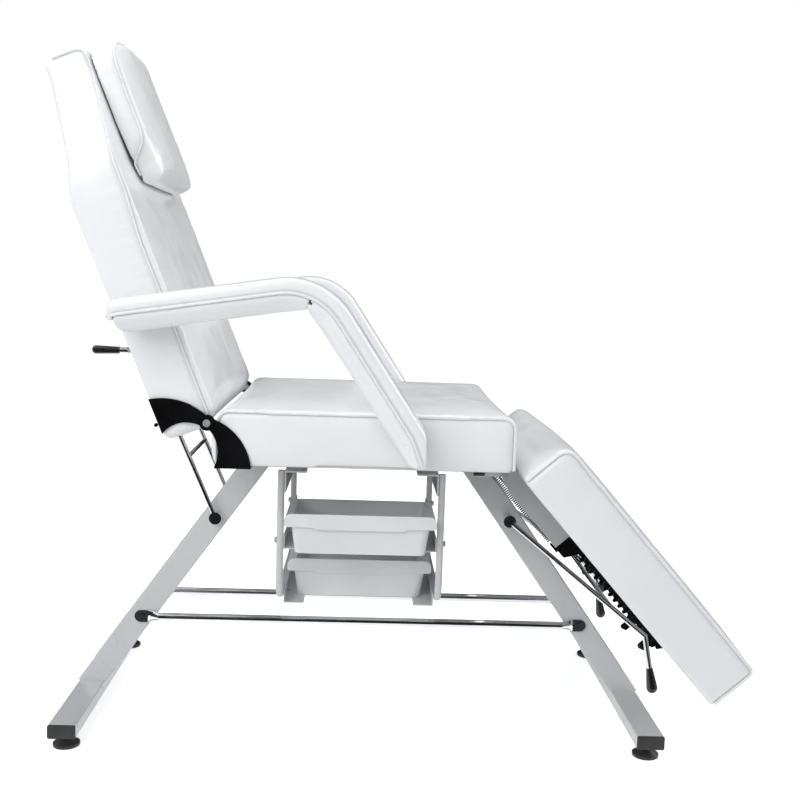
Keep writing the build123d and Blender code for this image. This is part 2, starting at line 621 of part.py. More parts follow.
# Armrests: a bent cover over two pads on a steel core
ARM_INNER = 305
ARM_WIDTH = 100
ARM_ELBOW_BEHIND = 88
ARM_ELBOW_ABOVE = 216
ARM_ELBOW = (SEAT_CENTRE - ARM_ELBOW_BEHIND, SEAT_TOP + ARM_ELBOW_ABOVE)
ARM_RISE = 9.2
ARM_SLANT = 56.3
ARM_REST_LENGTH = 332
ARM_SLANT_LENGTH = 296
ARM_ABOVE_FRAME = 23
ARM_BOTTOM = FRAME_TOP + ARM_ABOVE_FRAME
ARM_FOOT_RUN = 16
ARM_BEND = 100
ARM_COVER = 26
ARM_PAD = 32
ARM_KNEE_BLEND = 60
ARM_NOSE_DROP = 9
ARM_NOSE_RADIUS = 20
ARM_NOSE_REACH = 10
ARM_TOE = 6
ARM_MITRE = 5
ARM_CROWN = 3
ARM_CROWN_RADIUS = 400
ARM_EDGE = 12
ARM_CORE = 4
ARM_CORE_WIDTH = 60
ARM_CORE_NOSE = 30
ARM_LUG = 20
ARM_CORE_END_SHARE = 0.05
ARM_LUG_SHARE = 0.2
ARM_HOLE_RADIUS = 3.5
ARM_HOLE_DEPTH = 4
ARM_BOLT_DEPTH = 35
ARM_SPACER_RADIUS = 10
ARM_OUTER = ARM_INNER + ARM_WIDTH
ARM_REST_DIRECTION = (cos(radians(ARM_RISE)), sin(radians(ARM_RISE)))
ARM_SLANT_DIRECTION = (cos(radians(ARM_SLANT)), -sin(radians(ARM_SLANT)))
ARM_NOSE = (ARM_ELBOW[0] - ARM_REST_LENGTH * ARM_REST_DIRECTION[0],
            ARM_ELBOW[1] - ARM_REST_LENGTH * ARM_REST_DIRECTION[1])
ARM_KNEE = (ARM_ELBOW[0] + ARM_SLANT_LENGTH * ARM_SLANT_DIRECTION[0],
            ARM_ELBOW[1] + ARM_SLANT_LENGTH * ARM_SLANT_DIRECTION[1])
ARM_TOE_SEAM = (ARM_KNEE[0] + ARM_FOOT_RUN, ARM_BOTTOM)


def elbow_at(distance):
    """The corner where lines parallel to the two arms of the seam meet, outside it."""
    half_turn = radians((ARM_RISE + ARM_SLANT) / 2)
    lean = radians((ARM_SLANT - ARM_RISE) / 2)
    reach = distance / cos(half_turn)
    return (ARM_ELBOW[0] + reach * sin(lean), ARM_ELBOW[1] + reach * cos(lean))


def beside_rest(point, distance):
    """A point moved off the rest part of the seam, outwards when positive."""
    return (point[0] - distance * ARM_REST_DIRECTION[1], point[1] + distance * ARM_REST_DIRECTION[0])


def beside_slant(point, distance):
    """A point moved off the slanted part of the seam, outwards when positive."""
    return (point[0] - distance * ARM_SLANT_DIRECTION[1], point[1] + distance * ARM_SLANT_DIRECTION[0])


def armrest_cover():
    """The right armrest's bent top cover, crowned across its width."""
    nose_top = beside_rest(ARM_NOSE, ARM_COVER)
    knee_out = beside_slant(ARM_KNEE, ARM_COVER)
    toe_x = ARM_TOE_SEAM[0] + ARM_TOE
    knee_z = knee_out[1] - (toe_x - knee_out[0]) * tan(radians(ARM_SLANT))
    side = [(ARM_NOSE[0], ARM_NOSE[1] - ARM_NOSE_DROP, 0),
            (ARM_NOSE[0] - ARM_NOSE_REACH, ARM_NOSE[1] - ARM_NOSE_DROP, ARM_CROWN),
            (nose_top[0] - ARM_NOSE_REACH / 2, nose_top[1], ARM_NOSE_RADIUS),
            (*elbow_at(ARM_COVER), ARM_BEND + ARM_COVER), (toe_x, knee_z, ARM_KNEE_BLEND),
            (toe_x, ARM_BOTTOM, 0), (*ARM_TOE_SEAM, 0), (*ARM_KNEE, ARM_KNEE_BLEND),
            (*ARM_ELBOW, ARM_BEND), (*ARM_NOSE, 0)]
    body = across(outline(side), ARM_INNER, ARM_OUTER)
    return body & crowned_channel(ARM_COVER, 1)


def crowned_channel(thickness, outwards):
    """The swept space inside the armrest's rounded long edges on one side of its seam."""
    start = (ARM_NOSE[0] - 2 * ARM_NOSE_REACH * ARM_REST_DIRECTION[0],
             ARM_NOSE[1] - 2 * ARM_NOSE_REACH * ARM_REST_DIRECTION[1])
    end = (ARM_KNEE[0] + 2 * ARM_NOSE_DROP * ARM_PAD / ARM_COVER * ARM_SLANT_DIRECTION[0],
           ARM_KNEE[1] + 2 * ARM_NOSE_DROP * ARM_PAD / ARM_COVER * ARM_SLANT_DIRECTION[1])
    end = (end[0] + ARM_COVER * ARM_SLANT_DIRECTION[0], end[1] + ARM_COVER * ARM_SLANT_DIRECTION[1])
    middle = -(ARM_INNER + ARM_OUTER) / 2
    path = FilletPolyline(*[(x, middle, z) for x, z in (start, ARM_ELBOW, end)], radius=ARM_BEND)
    half = ARM_WIDTH / 2
    high = thickness + OVERRUN / 2
    shoulder = high - ARM_CROWN
    corners = [(-half, -ARM_PAD), (half, -ARM_PAD), (half, shoulder), (0, high), (-half, shoulder)]
    radii = [0, 0, ARM_EDGE, ARM_CROWN_RADIUS, ARM_EDGE]
    section = make_face(FilletPolyline(*[(x, y * outwards) for x, y in corners], radius=radii, close=True))
    place = Plane(origin=(start[0], middle, start[1]), x_dir=(0, 1, 0),
                  z_dir=(ARM_REST_DIRECTION[0], 0, ARM_REST_DIRECTION[1]))
    return sweep(place * section, path=path)


def armrest_pads():
    """The right armrest's rest pad and leg pad, apart at the mitre and cut round the core."""
    under = beside_rest(ARM_NOSE, -ARM_PAD)
    knee_under = beside_slant(ARM_KNEE, -ARM_PAD)
    foot_x = knee_under[0] + (knee_under[1] - ARM_BOTTOM) / tan(radians(ARM_SLANT))
    side = [(*ARM_NOSE, 0), (*ARM_ELBOW, ARM_BEND), (*ARM_KNEE, ARM_KNEE_BLEND), (*ARM_TOE_SEAM, 0),
            (foot_x, ARM_BOTTOM, 0), (*elbow_at(-ARM_PAD), 0), (*under, ARM_NOSE_RADIUS)]
    body = across(outline(side), ARM_INNER, ARM_OUTER) & crowned_channel(ARM_PAD, -1)
    body -= armrest_core()
    inner, outer = elbow_at(-2 * ARM_PAD), elbow_at(ARM_COVER)
    body -= across(slot(inner, outer, ARM_MITRE / 2), ARM_INNER - OVERRUN, ARM_OUTER + OVERRUN)
    body -= pin(armrest_hole(), ARM_HOLE_RADIUS, ARM_OUTER - ARM_HOLE_DEPTH, ARM_OUTER + OVERRUN)
    return body - armrest_bolt_holes()


def armrest_hole():
    """Side view place of the plugged screw hole on the armrest's leg."""
    knee_under = beside_slant(ARM_KNEE, -ARM_PAD)
    return between(ARM_KNEE, knee_under, 0.5)


def armrest_core():
    """The flat steel bar along the right armrest's seam, with its bolting plate."""
    start = (ARM_NOSE[0] + ARM_CORE_NOSE * ARM_REST_DIRECTION[0],
             ARM_NOSE[1] + ARM_CORE_NOSE * ARM_REST_DIRECTION[1])
    below = beside_rest(start, -ARM_CORE)
    knee = between(ARM_KNEE, ARM_ELBOW, ARM_CORE_END_SHARE)
    knee_low = beside_slant(knee, -ARM_CORE)
    side = [(*start, 0), (*ARM_ELBOW, ARM_BEND), (*knee, 0), (*knee_low, 0),
            (*elbow_at(-ARM_CORE), ARM_BEND - ARM_CORE), (*below, 0)]
    bar = across(outline(side), ARM_INNER + ARM_CORE, ARM_INNER + ARM_CORE_WIDTH)
    upper, lower = armrest_bolt_places()
    top = beside_slant(between(ARM_KNEE, ARM_ELBOW, ARM_LUG_SHARE), -1.5 * ARM_CORE)
    lug = slot(upper, lower, ARM_LUG / 2) + slot(upper, top, ARM_CORE)
    core = bar + across(lug, ARM_INNER + ARM_CORE, ARM_INNER + 2 * ARM_CORE)
    for place in armrest_bolt_places():
        core -= pin(place, BOLT_RADIUS + BOLT_FIT, ARM_INNER, ARM_INNER + 3 * ARM_CORE)
    return core


def armrest_bolt_places():
    """Side view places of the two bolts that hold an armrest to the seat's side."""
    middle = beside_slant(ARM_KNEE, -ARM_PAD / 2)
    step = (ARM_LUG * ARM_SLANT_DIRECTION[0] / 2, ARM_LUG * ARM_SLANT_DIRECTION[1] / 2)
    upper = (middle[0] - step[0], middle[1] - step[1])
    lower = (middle[0] + step[0], middle[1] + step[1])
    return upper, lower


def armrest_bolt_holes():
    """The holes round the right armrest's bolts, in the seat and in the pad."""
    upper, lower = armrest_bolt_places()
    hole = BOLT_RADIUS + SOFT_GAP
    depth = HALF_WIDTH - ARM_BOLT_DEPTH - OVERRUN
    end = ARM_INNER + 3 * ARM_CORE
    return pin(upper, hole, depth, end) + pin(lower, hole, depth, end)


def armrest_bolts():
    """The bolts of both armrests, each with a spacer between seat and armrest."""
    right = None
    for place in armrest_bolt_places():
        screw = pin(place, BOLT_RADIUS, HALF_WIDTH - ARM_BOLT_DEPTH, ARM_INNER + 2 * ARM_CORE)
        screw += pin(place, ARM_SPACER_RADIUS, HALF_WIDTH, ARM_INNER)
        right = screw if right is None else right + screw
    return both_sides(right)


# Tray rack under the seat
RACK_CENTRE = -7.5
RACK_SPAN = 298
RACK_TUBE_RADIUS = 6.5
RACK_HALF_WIDTH = 185
RACK_DROP = 243
RACK_BOTTOM = FRAME_BOTTOM - RACK_DROP
RACK_BEND = 35
ANGLE = 40
ANGLE_WALL = 3
RUNNER_WALL = 2
RUNNER_SHELF = 38
RUNNER_HEIGHT = 26
RUNNER_LENGTH = 370
LOWER_RUNNER_START = -150
LOWER_RUNNER_LENGTH = 280
RACK_BOLT_RADIUS = 3
RACK_BOLT_HEAD = 4
TRAY_GAP = 0.3
UPPER_TRAY_DROP = 146
LOWER_TRAY_DROP = 260
UPPER_TRAY_BOTTOM = FRAME_BOTTOM - UPPER_TRAY_DROP
LOWER_TRAY_BOTTOM = FRAME_BOTTOM - LOWER_TRAY_DROP
RACK_INNER = RACK_SPAN / 2 - RACK_TUBE_RADIUS


def tray_frame(side):
    """One U-shaped tube that hangs under the seat frame."""
    x = RACK_CENTRE + side * RACK_SPAN / 2
    corners = [(x, -RACK_HALF_WIDTH, FRAME_BOTTOM), (x, -RACK_HALF_WIDTH, RACK_BOTTOM),
               (x, RACK_HALF_WIDTH, RACK_BOTTOM), (x, RACK_HALF_WIDTH, FRAME_BOTTOM)]
    path = FilletPolyline(*corners, radius=RACK_BEND)
    start = Plane(origin=corners[0], z_dir=(0, 0, -1))
    outer = sweep(start * Circle(RACK_TUBE_RADIUS), path=path)
    return outer - sweep(start * Circle(RACK_TUBE_RADIUS - TUBE_WALL), path=path)


def angle_bar(side, start, length, shelf, height, wall, shelf_top, rises):
    """An angle along Y inside one side of the rack, with its shelf towards the middle."""
    face = RACK_CENTRE + side * RACK_INNER
    inner = face - side * shelf
    wall_face = face - side * wall
    low, high = (shelf_top - wall, shelf_top - wall + height) if rises else (shelf_top - height, shelf_top)
    bar = block(min(face, inner), max(face, inner), start, start + length, shelf_top - wall, shelf_top)
    return bar + block(min(face, wall_face), max(face, wall_face), start, start + length, low, high)


def mount_angles():
    """The two angles across the chair that carry the rack under the rails."""
    span = 2 * (RACK_HALF_WIDTH + RACK_TUBE_RADIUS)
    bars = [angle_bar(side, -span / 2, span, ANGLE, ANGLE, ANGLE_WALL, FRAME_BOTTOM, False)
            for side in (-1, 1)]
    return bars[0] + bars[1]


def upper_runners():
    """The two angles that the upper tray slides on."""
    shelf_top = UPPER_TRAY_BOTTOM - TRAY_GAP
    bars = [angle_bar(side, -RUNNER_LENGTH / 2, RUNNER_LENGTH, RUNNER_SHELF, RUNNER_HEIGHT, RUNNER_WALL,
                      shelf_top, True) for side in (-1, 1)]
    return bars[0] + bars[1] - rack_bolt_holes()


def lower_runners():
    """The two angles that the lower tray slides on."""
    shelf_top = LOWER_TRAY_BOTTOM - TRAY_GAP
    bars = [angle_bar(side, LOWER_RUNNER_START, LOWER_RUNNER_LENGTH, RUNNER_SHELF, RUNNER_HEIGHT, RUNNER_WALL,
                      shelf_top, True) for side in (-1, 1)]
    return bars[0] + bars[1] - rack_bolt_holes()


def rack_bolt_places():
    """Height and distance across of each rack bolt."""
    runner_middle = UPPER_TRAY_BOTTOM + RUNNER_HEIGHT / 2
    across_bolt = RACK_HALF_WIDTH - RACK_BOLT_HEAD
    return [(-across_bolt, runner_middle), (across_bolt, runner_middle), (0, RACK_BOTTOM)]


def rack_bolt(side, y, z, radius, start, end):
    """A round bar along X in one side of the rack, from one distance out to another."""
    x = RACK_CENTRE + side * RACK_INNER
    return rod((x + side * start, y, z), (x + side * end, y, z), radius)


def rack_bolt_holes():
    """The bolt holes through both sides of the rack."""
    holes = None
    for side in (-1, 1):
        for y, z in rack_bolt_places():
            hole = rack_bolt(side, y, z, RACK_BOLT_RADIUS + BOLT_FIT, -ANGLE, 2 * ANGLE)
            holes = hole if holes is None else holes + hole
    return holes


def tray_frame_bolts():
    """The bolts through the rack's tubes and runners, with a head outside each tube."""
    bolts = None
    outside = 2 * RACK_TUBE_RADIUS
    for side in (-1, 1):
        for y, z in rack_bolt_places():
            screw = rack_bolt(side, y, z, RACK_BOLT_RADIUS, -RUNNER_WALL, outside + RACK_BOLT_HEAD)
            screw += rack_bolt(side, y, z, 2 * RACK_BOLT_RADIUS, outside, outside + RACK_BOLT_HEAD)
            bolts = screw if bolts is None else bolts + screw
    return bolts


# Trays
TRAY_LENGTH = 200
TRAY_TOP_WIDTH = 256
TRAY_BOTTOM_WIDTH = 240
TRAY_RIM_WIDTH = 278
TRAY_RIM = 3
TRAY_DEPTH = 62
TRAY_WALL = 3
TRAY_CORNER = 14
TRAY_LIP_HEIGHT = 13
TRAY_LIP_DEPTH = 11
TRAY_LIP = 4
TRAY_HANDLE_DEPTH = 18
TRAY_HANDLE_WIDTH = 170
TRAY_FRONT_DRAFT = 8
UPPER_TRAY_FRONT = -235
LOWER_TRAY_FRONT = -115


def tray_bowl(height, wall, floor):
    """The tapered inside or outside of a tray, centred on its length."""
    length = TRAY_LENGTH - 2 * TRAY_LIP
    low = RectangleRounded(TRAY_BOTTOM_WIDTH - 2 * wall, length - 2 * TRAY_FRONT_DRAFT - 2 * wall,
                           TRAY_CORNER - wall)
    high = RectangleRounded(TRAY_TOP_WIDTH - 2 * wall, length - 2 * wall, TRAY_CORNER - wall)
    return loft([Pos(0, 0, floor) * low, Pos(0, 0, height) * high])


def tray(front, bottom):
    """A plastic tray with a rim and a tall front lip that bears its handle."""
    body = tray_bowl(TRAY_DEPTH, 0, 0) - tray_bowl(TRAY_DEPTH, TRAY_WALL, TRAY_WALL)
    length = TRAY_LENGTH - 2 * TRAY_LIP
    rim = RectangleRounded(TRAY_RIM_WIDTH, TRAY_LENGTH, TRAY_CORNER)
    opening = RectangleRounded(TRAY_TOP_WIDTH - 2 * TRAY_WALL, length - 2 * TRAY_WALL,
                               TRAY_CORNER - TRAY_WALL)
    body += Pos(0, 0, TRAY_DEPTH - TRAY_RIM) * extrude(rim, TRAY_RIM)
    body -= Pos(0, 0, TRAY_DEPTH - TRAY_RIM) * extrude(opening, TRAY_RIM)
    top = TRAY_DEPTH + TRAY_LIP_HEIGHT
    low = TRAY_DEPTH - TRAY_LIP_DEPTH
    half, handle = TRAY_RIM_WIDTH / 2, TRAY_HANDLE_WIDTH / 2
    drop = low - TRAY_LIP
    lip = outline([(-half, top, TRAY_LIP_HEIGHT), (-half, low, TRAY_LIP), (-handle, low, TRAY_LIP),
                   (TRAY_LIP - handle, drop, TRAY_LIP), (handle - TRAY_LIP, drop, TRAY_LIP),
                   (handle, low, TRAY_LIP), (half, low, TRAY_LIP), (half, top, TRAY_LIP_HEIGHT)])
    body += Pos(0, TRAY_LIP - TRAY_LENGTH / 2, 0) * extrude(lip, TRAY_LIP, dir=(0, -1, 0))
    return Pos(RACK_CENTRE, front + TRAY_LENGTH / 2, bottom) * body


# Back prop and its hardware
PROP_PIVOT_SIDE = 120
PROP_TIP_SIDE = 225
BACK_PROP_SIDE = 105
BACK_ROD = 9
BACK_BRACE = 8
EYE_RADIUS = 12
EYE = 10
EYE_GAP = 0.3
BRACE_ROD = 9
SPACER_RADIUS = 8
BACK_PROP_RATIO = 0.706
BACK_PROP_BRACE = 130
BACK_STEM = 13.6
GRIP_LENGTH = 49
GRIP_SMALL = 6
BACK_GRIP_LARGE = 7.5
GRIP_SOCKET = 20
GRIP_WALL_FIT = 0.1


def prop(foot, head, thickness):
    """One side of a prop: a rod in space with an eye on the leg's bolt."""
    pivot, outer = (foot[0], foot[2]), EYE / 2 - foot[1]
    half = rod(foot, head, thickness / 2) + pin(pivot, EYE_RADIUS, outer - EYE, outer)
    half -= pin(pivot, BOLT_RADIUS + RUNNING_FIT, LEG_OUTER, PROP_TIP_SIDE)
    return half - pin(pivot, BOLT_HEAD_RADIUS + OVERRUN, outer, PROP_TIP_SIDE)


def bar_across(end, thickness):
    """A round bar from a point on the right side to its twin on the left."""
    return rod(end, (end[0], -end[1], end[2]), thickness / 2)


def grip(start, along, large):
    """A plastic grip that widens to a round end, over the end of a stem."""
    profile = outline([(0, 0, 0), (GRIP_SMALL, 0, 0), (large, GRIP_LENGTH - large, large),
                       (large, GRIP_LENGTH, large - RUNNING_FIT), (0, GRIP_LENGTH, 0)])
    body = revolve(profile, Axis.Z)
    body -= Pos(0, 0, GRIP_SOCKET / 2) * Cylinder(PROP_ROD / 2 + GRIP_WALL_FIT, GRIP_SOCKET)
    return Plane(origin=start, z_dir=(along[0], 0, along[1])) * body


def stem_end(tip, along, length):
    """The end point of a handle's stem on the right side."""
    return (tip[0] + along[0] * length, -PROP_TIP_SIDE, tip[1] + along[1] * length)


BACK_HANDLE = (-1, 0)


def back_prop():
    """The chromed prop behind the back, with its top bar and handle stems."""
    foot = (REAR_PIVOT[0], -BACK_PROP_SIDE, REAR_PIVOT[1])
    top = (BACK_PROP_TIP[0], -BACK_PROP_SIDE, BACK_PROP_TIP[1])
    head = (BACK_PROP_TIP[0], -PROP_TIP_SIDE, BACK_PROP_TIP[1])
    stem = stem_end(BACK_PROP_TIP, BACK_HANDLE, BACK_STEM + GRIP_SOCKET - OVERRUN)
    handle = rod(head, stem, PROP_ROD / 2) + Pos(*head) * Sphere(PROP_ROD / 2)
    brace = bar_across(between(foot, top, BACK_PROP_BRACE / BACK_PROP_LENGTH), BACK_BRACE)
    frame = both_sides(prop(foot, top, BACK_ROD)) + brace + bar_across(head, PROP_ROD)
    return frame + both_sides(handle)


def back_prop_grips():
    """The grips on the back prop's handles."""
    return both_sides(grip(stem_end(BACK_PROP_TIP, BACK_HANDLE, BACK_STEM), BACK_HANDLE, BACK_GRIP_LARGE))


def prop_pivot_bolts():
    """The bolts through the legs that both props turn on."""
    beyond = EYE / 2 + EYE_GAP
    rear = bolt(REAR_PIVOT, LEG_INNER, BACK_PROP_SIDE + beyond)
    return both_sides(rear + bolt(FRONT_PIVOT, LEG_INNER, PROP_PIVOT_SIDE + beyond))


def prop_spacers():
    """The tubes on those bolts between the legs and the props."""
    spacers = None
    for pivot, side in ((REAR_PIVOT, BACK_PROP_SIDE), (FRONT_PIVOT, PROP_PIVOT_SIDE)):
        outer = side - EYE / 2 - EYE_GAP
        tube = pin(pivot, SPACER_RADIUS, LEG_OUTER, outer)
        tube -= pin(pivot, BOLT_RADIUS + BOLT_FIT, LEG_OUTER - OVERRUN, outer + OVERRUN)
        spacers = tube if spacers is None else spacers + tube
    return both_sides(spacers)


# Toothed racks behind the back
BACK_RACK_INNER = 160
BACK_RACK_WIDTH = 30
RACK_WALL = 3
BACK_HOOK_TIP = 32
BACK_NOTCHES = 13
BACK_HOOK = 12
BACK_HOOK_GAP = 9
TOOTH_TOP_SHARE = 0.3
TOOTH_BASE_SHARE = 0.8


def back_notches():
    """Distances up the back of the first and last notch: the top bar upright and lying flat."""
    upright = in_back(BACK_PROP_TIP)[0]
    flat_tip = turned(BACK_PROP_TIP, REAR_PIVOT, -BACK_PROP_RATIO * BACK_FOLD)
    lying = in_back(turned(flat_tip, BACK_HINGE, BACK_FOLD))[0]
    return upright, lying


def back_rack_flange():
    """The toothed side of a back rack, as an XZ face."""
    upright, lying = back_notches()
    pitch = (lying - upright) / BACK_NOTCHES
    start = upright - BACK_HOOK_GAP - BACK_HOOK
    end = lying + BACK_HOOK_GAP + BACK_HOOK
    web = BACK_REAR
    tip, hook = web - BACK_TOOTH_TIP, web - BACK_HOOK_TIP
    valley = tip + pitch * TOOTH_BASE_SHARE / 2
    points = [(start, web), (start, hook), (start + BACK_HOOK, hook), (start + BACK_HOOK, valley)]
    for number in range(BACK_NOTCHES):
        middle = upright + (2 * number + 1) * pitch / 2
        base, top = pitch * TOOTH_BASE_SHARE / 2, pitch * TOOTH_TOP_SHARE / 2
        points += [(middle - base, valley), (middle - top, tip), (middle + top, tip), (middle + base, valley)]
    points += [(end - BACK_HOOK, valley), (end - BACK_HOOK, hook), (end, hook), (end, web)]
    return sharp([on_back(*point) for point in points])


def back_racks():
    """The two channels behind the back whose teeth take the prop's top bar."""
    upright, lying = back_notches()
    flange = back_rack_flange()
    start = upright - BACK_HOOK_GAP - BACK_HOOK
    end = lying + BACK_HOOK_GAP + BACK_HOOK
    behind = BACK_REAR - RACK_WALL
    corners = ((start, BACK_REAR), (end, BACK_REAR), (end, behind), (start, behind))
    web = sharp([on_back(*corner) for corner in corners])
    outer = BACK_RACK_INNER + BACK_RACK_WIDTH
    rack = across(web, BACK_RACK_INNER, outer) + across(flange, BACK_RACK_INNER, BACK_RACK_INNER + RACK_WALL)
    return both_sides(rack + across(flange, outer - RACK_WALL, outer))


# Legrest cushion and board
LEGREST_START = 12
LEGREST_CORNER = 28
LEGREST_PLAN_CORNER = 16
LEGREST_BOARD_INSET = 20
LEGREST_TOP = LEGREST_BOTTOM + LEGREST_THICKNESS
LEGREST_END = LEGREST_START + LEGREST_LENGTH


def legrest_board_shape(gap):
    """The legrest's board in its own axes, grown by a gap where it cuts its pocket."""
    inset = LEGREST_BOARD_INSET - gap
    return block(LEGREST_START + inset, LEGREST_END - inset, inset - HALF_WIDTH, HALF_WIDTH - inset,
                 LEGREST_BOTTOM - gap, LEGREST_BOTTOM + BOARD + gap)


def legrest_board():
    """The board under the legrest cushion."""
    return LEGREST_PLANE * legrest_board_shape(0)


def legrest_cushion():
    """The legrest cushion round its board, with its crown and drawn-in sides."""
    crown = LEGREST_TOP + CROWN
    rear, front = LEGREST_START - SIDE_OVERRUN, LEGREST_END + SIDE_OVERRUN
    side = [(rear, LEGREST_BOTTOM, EDGE), (front, LEGREST_BOTTOM, EDGE), (front, LEGREST_TOP, PLAN_CORNER),
            (LEGREST_END - CROWN_RUN, crown, CROWN_BLEND), (LEGREST_START + CROWN_RUN, crown, CROWN_BLEND),
            (rear, LEGREST_TOP, LEGREST_CORNER)]
    cross = crowned_cross(HALF_WIDTH, LEGREST_BOTTOM, LEGREST_TOP, CROWN, CROWN_RADIUS, PIPED_EDGE)
    middle = (LEGREST_START + LEGREST_END) / 2
    half = [(LEGREST_START, HALF_WIDTH, PLAN_CORNER), (middle, HALF_WIDTH - DRAWN_IN, DRAWN_IN_RADIUS),
            (LEGREST_END, HALF_WIDTH, LEGREST_PLAN_CORNER)]
    plan = half + [(x, -y, radius) for x, y, radius in reversed(half)]
    return LEGREST_PLANE * (cushion(side, cross, plan) - legrest_board_shape(SOFT_GAP))


# Legrest hinge: ears on the frame, arms and pins
EAR_INNER = 187
EAR = 6
EAR_ARM_GAP = 2
BOSS_RADIUS = 12
ARM_DEPTH = 35
ARM_END = 171
PIN_STANDOUT = 4
PIN_STANDOUT_HEAD = 2
ARM_PLATE_INNER = EAR_INNER + EAR + EAR_ARM_GAP
ARM_PLATE_OUTER = ARM_PLATE_INNER + EAR
FRAME_FRONT = LEG_TOP_SPACING / 2 + FRAME_TUBE / 2


def legrest_ears():
    """The ears on the front cross tube, with the lugs of the springs."""
    top, bottom = LEGREST_HINGE[1] + BOSS_RADIUS, LEGREST_HINGE[1] - BOSS_RADIUS
    plate = sharp([(FRAME_FRONT, top), (LEGREST_HINGE[0], top), (LEGREST_HINGE[0], bottom),
                   (FRAME_FRONT, bottom)])
    ear = across(plate + disc(LEGREST_HINGE, BOSS_RADIUS), EAR_INNER, EAR_INNER + EAR)
    ear -= pin(LEGREST_HINGE, PIN_RADIUS + BOLT_FIT, EAR_INNER - OVERRUN, EAR_INNER + EAR + OVERRUN)
    lug_top, lug_bottom = SPRING_ANCHOR[1] + LUG_RADIUS, SPRING_ANCHOR[1] - LUG_RADIUS
    lug_face = disc(SPRING_ANCHOR, LUG_RADIUS)
    lug_face += sharp([(FRAME_FRONT, lug_top), (SPRING_ANCHOR[0], lug_top), (SPRING_ANCHOR[0], lug_bottom),
                       (FRAME_FRONT, lug_bottom)])
    lug_face &= sharp([(FRAME_FRONT, 0), (REACH, 0), (REACH, FRAME_TOP), (FRAME_FRONT, FRAME_TOP)])
    lug = across(lug_face - disc(SPRING_ANCHOR, LUG_HOLE), SPRING_SIDE - LUG / 2, SPRING_SIDE + LUG / 2)
    return both_sides(ear + lug)


def legrest_arms():
    """The grey steel arms that carry the legrest."""
    low = LEGREST_BOTTOM - ARM_DEPTH
    corners = [(0, BOSS_RADIUS, 0), (LEGREST_BOTTOM, LEGREST_BOTTOM, 0), (ARM_END, LEGREST_BOTTOM, 0),
               (ARM_END, low, 0), (ARM_DEPTH, low, ARM_DEPTH), (0, -BOSS_RADIUS, 0)]
    face = outline([(*on_legrest(along, out), radius) for along, out, radius in corners])
    arm = across(face + disc(LEGREST_HINGE, BOSS_RADIUS), ARM_PLATE_INNER, ARM_PLATE_OUTER)
    arm -= pin(LEGREST_HINGE, PIN_RADIUS + RUNNING_FIT, ARM_PLATE_INNER - OVERRUN, ARM_PLATE_OUTER + OVERRUN)
    return both_sides(arm)


def legrest_hinge_pins():
    """The pins of the legrest hinge."""
    inner, outer = EAR_INNER - PIN_STANDOUT, ARM_PLATE_OUTER + PIN_STANDOUT
    rivet = pin(LEGREST_HINGE, PIN_RADIUS, inner, outer)
    rivet += pin(LEGREST_HINGE, PIN_HEAD_RADIUS, inner, inner + PIN_STANDOUT_HEAD)
    rivet += pin(LEGREST_HINGE, PIN_HEAD_RADIUS, outer - PIN_STANDOUT_HEAD, outer)
    return both_sides(rivet)


# Springs between the seat frame and the legrest racks
SPRING_ANCHOR_OUT = 5.5
SPRING_ANCHOR_UP = 1
SPRING_ANCHOR = (FRAME_FRONT + SPRING_ANCHOR_OUT, LEGREST_HINGE[1] + SPRING_ANCHOR_UP)
SPRING_SIDE = 175
SPRING_WIRE = 2
SPRING_RADIUS = 6
SPRING_LEAD = 5
SPRING_TURNS = 42.5
ARC_POINTS = 6
NEXT_TURN = 15
SPRING_END_OUT = 20
LUG = 3
LUG_RADIUS = 7
LUG_HOLE = 1.3
TAB_NOTCH = 2
SPRING_END = on_legrest(ARM_END, -SPRING_END_OUT)


def biarc(start, start_way, end, end_way):
    """Two tangent arcs in space between two points with given directions."""
    gap = end - start
    ways = start_way + end_way
    a = 2 * (1 - start_way.dot(end_way))
    b = 2 * gap.dot(ways)
    c = -gap.dot(gap)
    reach = -c / b if abs(a) < 1e-9 else (-b + sqrt(b * b - 4 * a * c)) / (2 * a)
    joint = (start + end + (start_way - end_way) * reach) * 0.5
    first = Edge.make_tangent_arc(start, start_way, joint)
    second = Edge.make_tangent_arc(joint, first.tangent_at(1), end)
    return [first, second]


def spring_axes():
    """The spring's start, its direction and its two cross directions."""
    start = Vector(SPRING_ANCHOR[0], -SPRING_SIDE, SPRING_ANCHOR[1])
    end = Vector(SPRING_END[0], -SPRING_SIDE, SPRING_END[1])
    way = (end - start).normalized()
    sideways = Vector(0, 1, 0)
    return start, end, way, sideways, way.cross(sideways)


def spring_coil_point(distance, angle, start, way, sideways, cross):
    """A point on the coil and its direction there."""
    rise = coil_length() / (2 * pi * SPRING_TURNS)
    outwards = sideways * cos(angle) + cross * sin(angle)
    around = cross * cos(angle) - sideways * sin(angle)
    heading = (around * SPRING_RADIUS + way * rise).normalized()
    return start + way * distance + outwards * SPRING_RADIUS, heading


def coil_length():
    """Length of the coil between its two end loops."""
    start, end, way, sideways, cross = spring_axes()
    return (end - start).length - 2 * (SPRING_RADIUS + SPRING_LEAD)


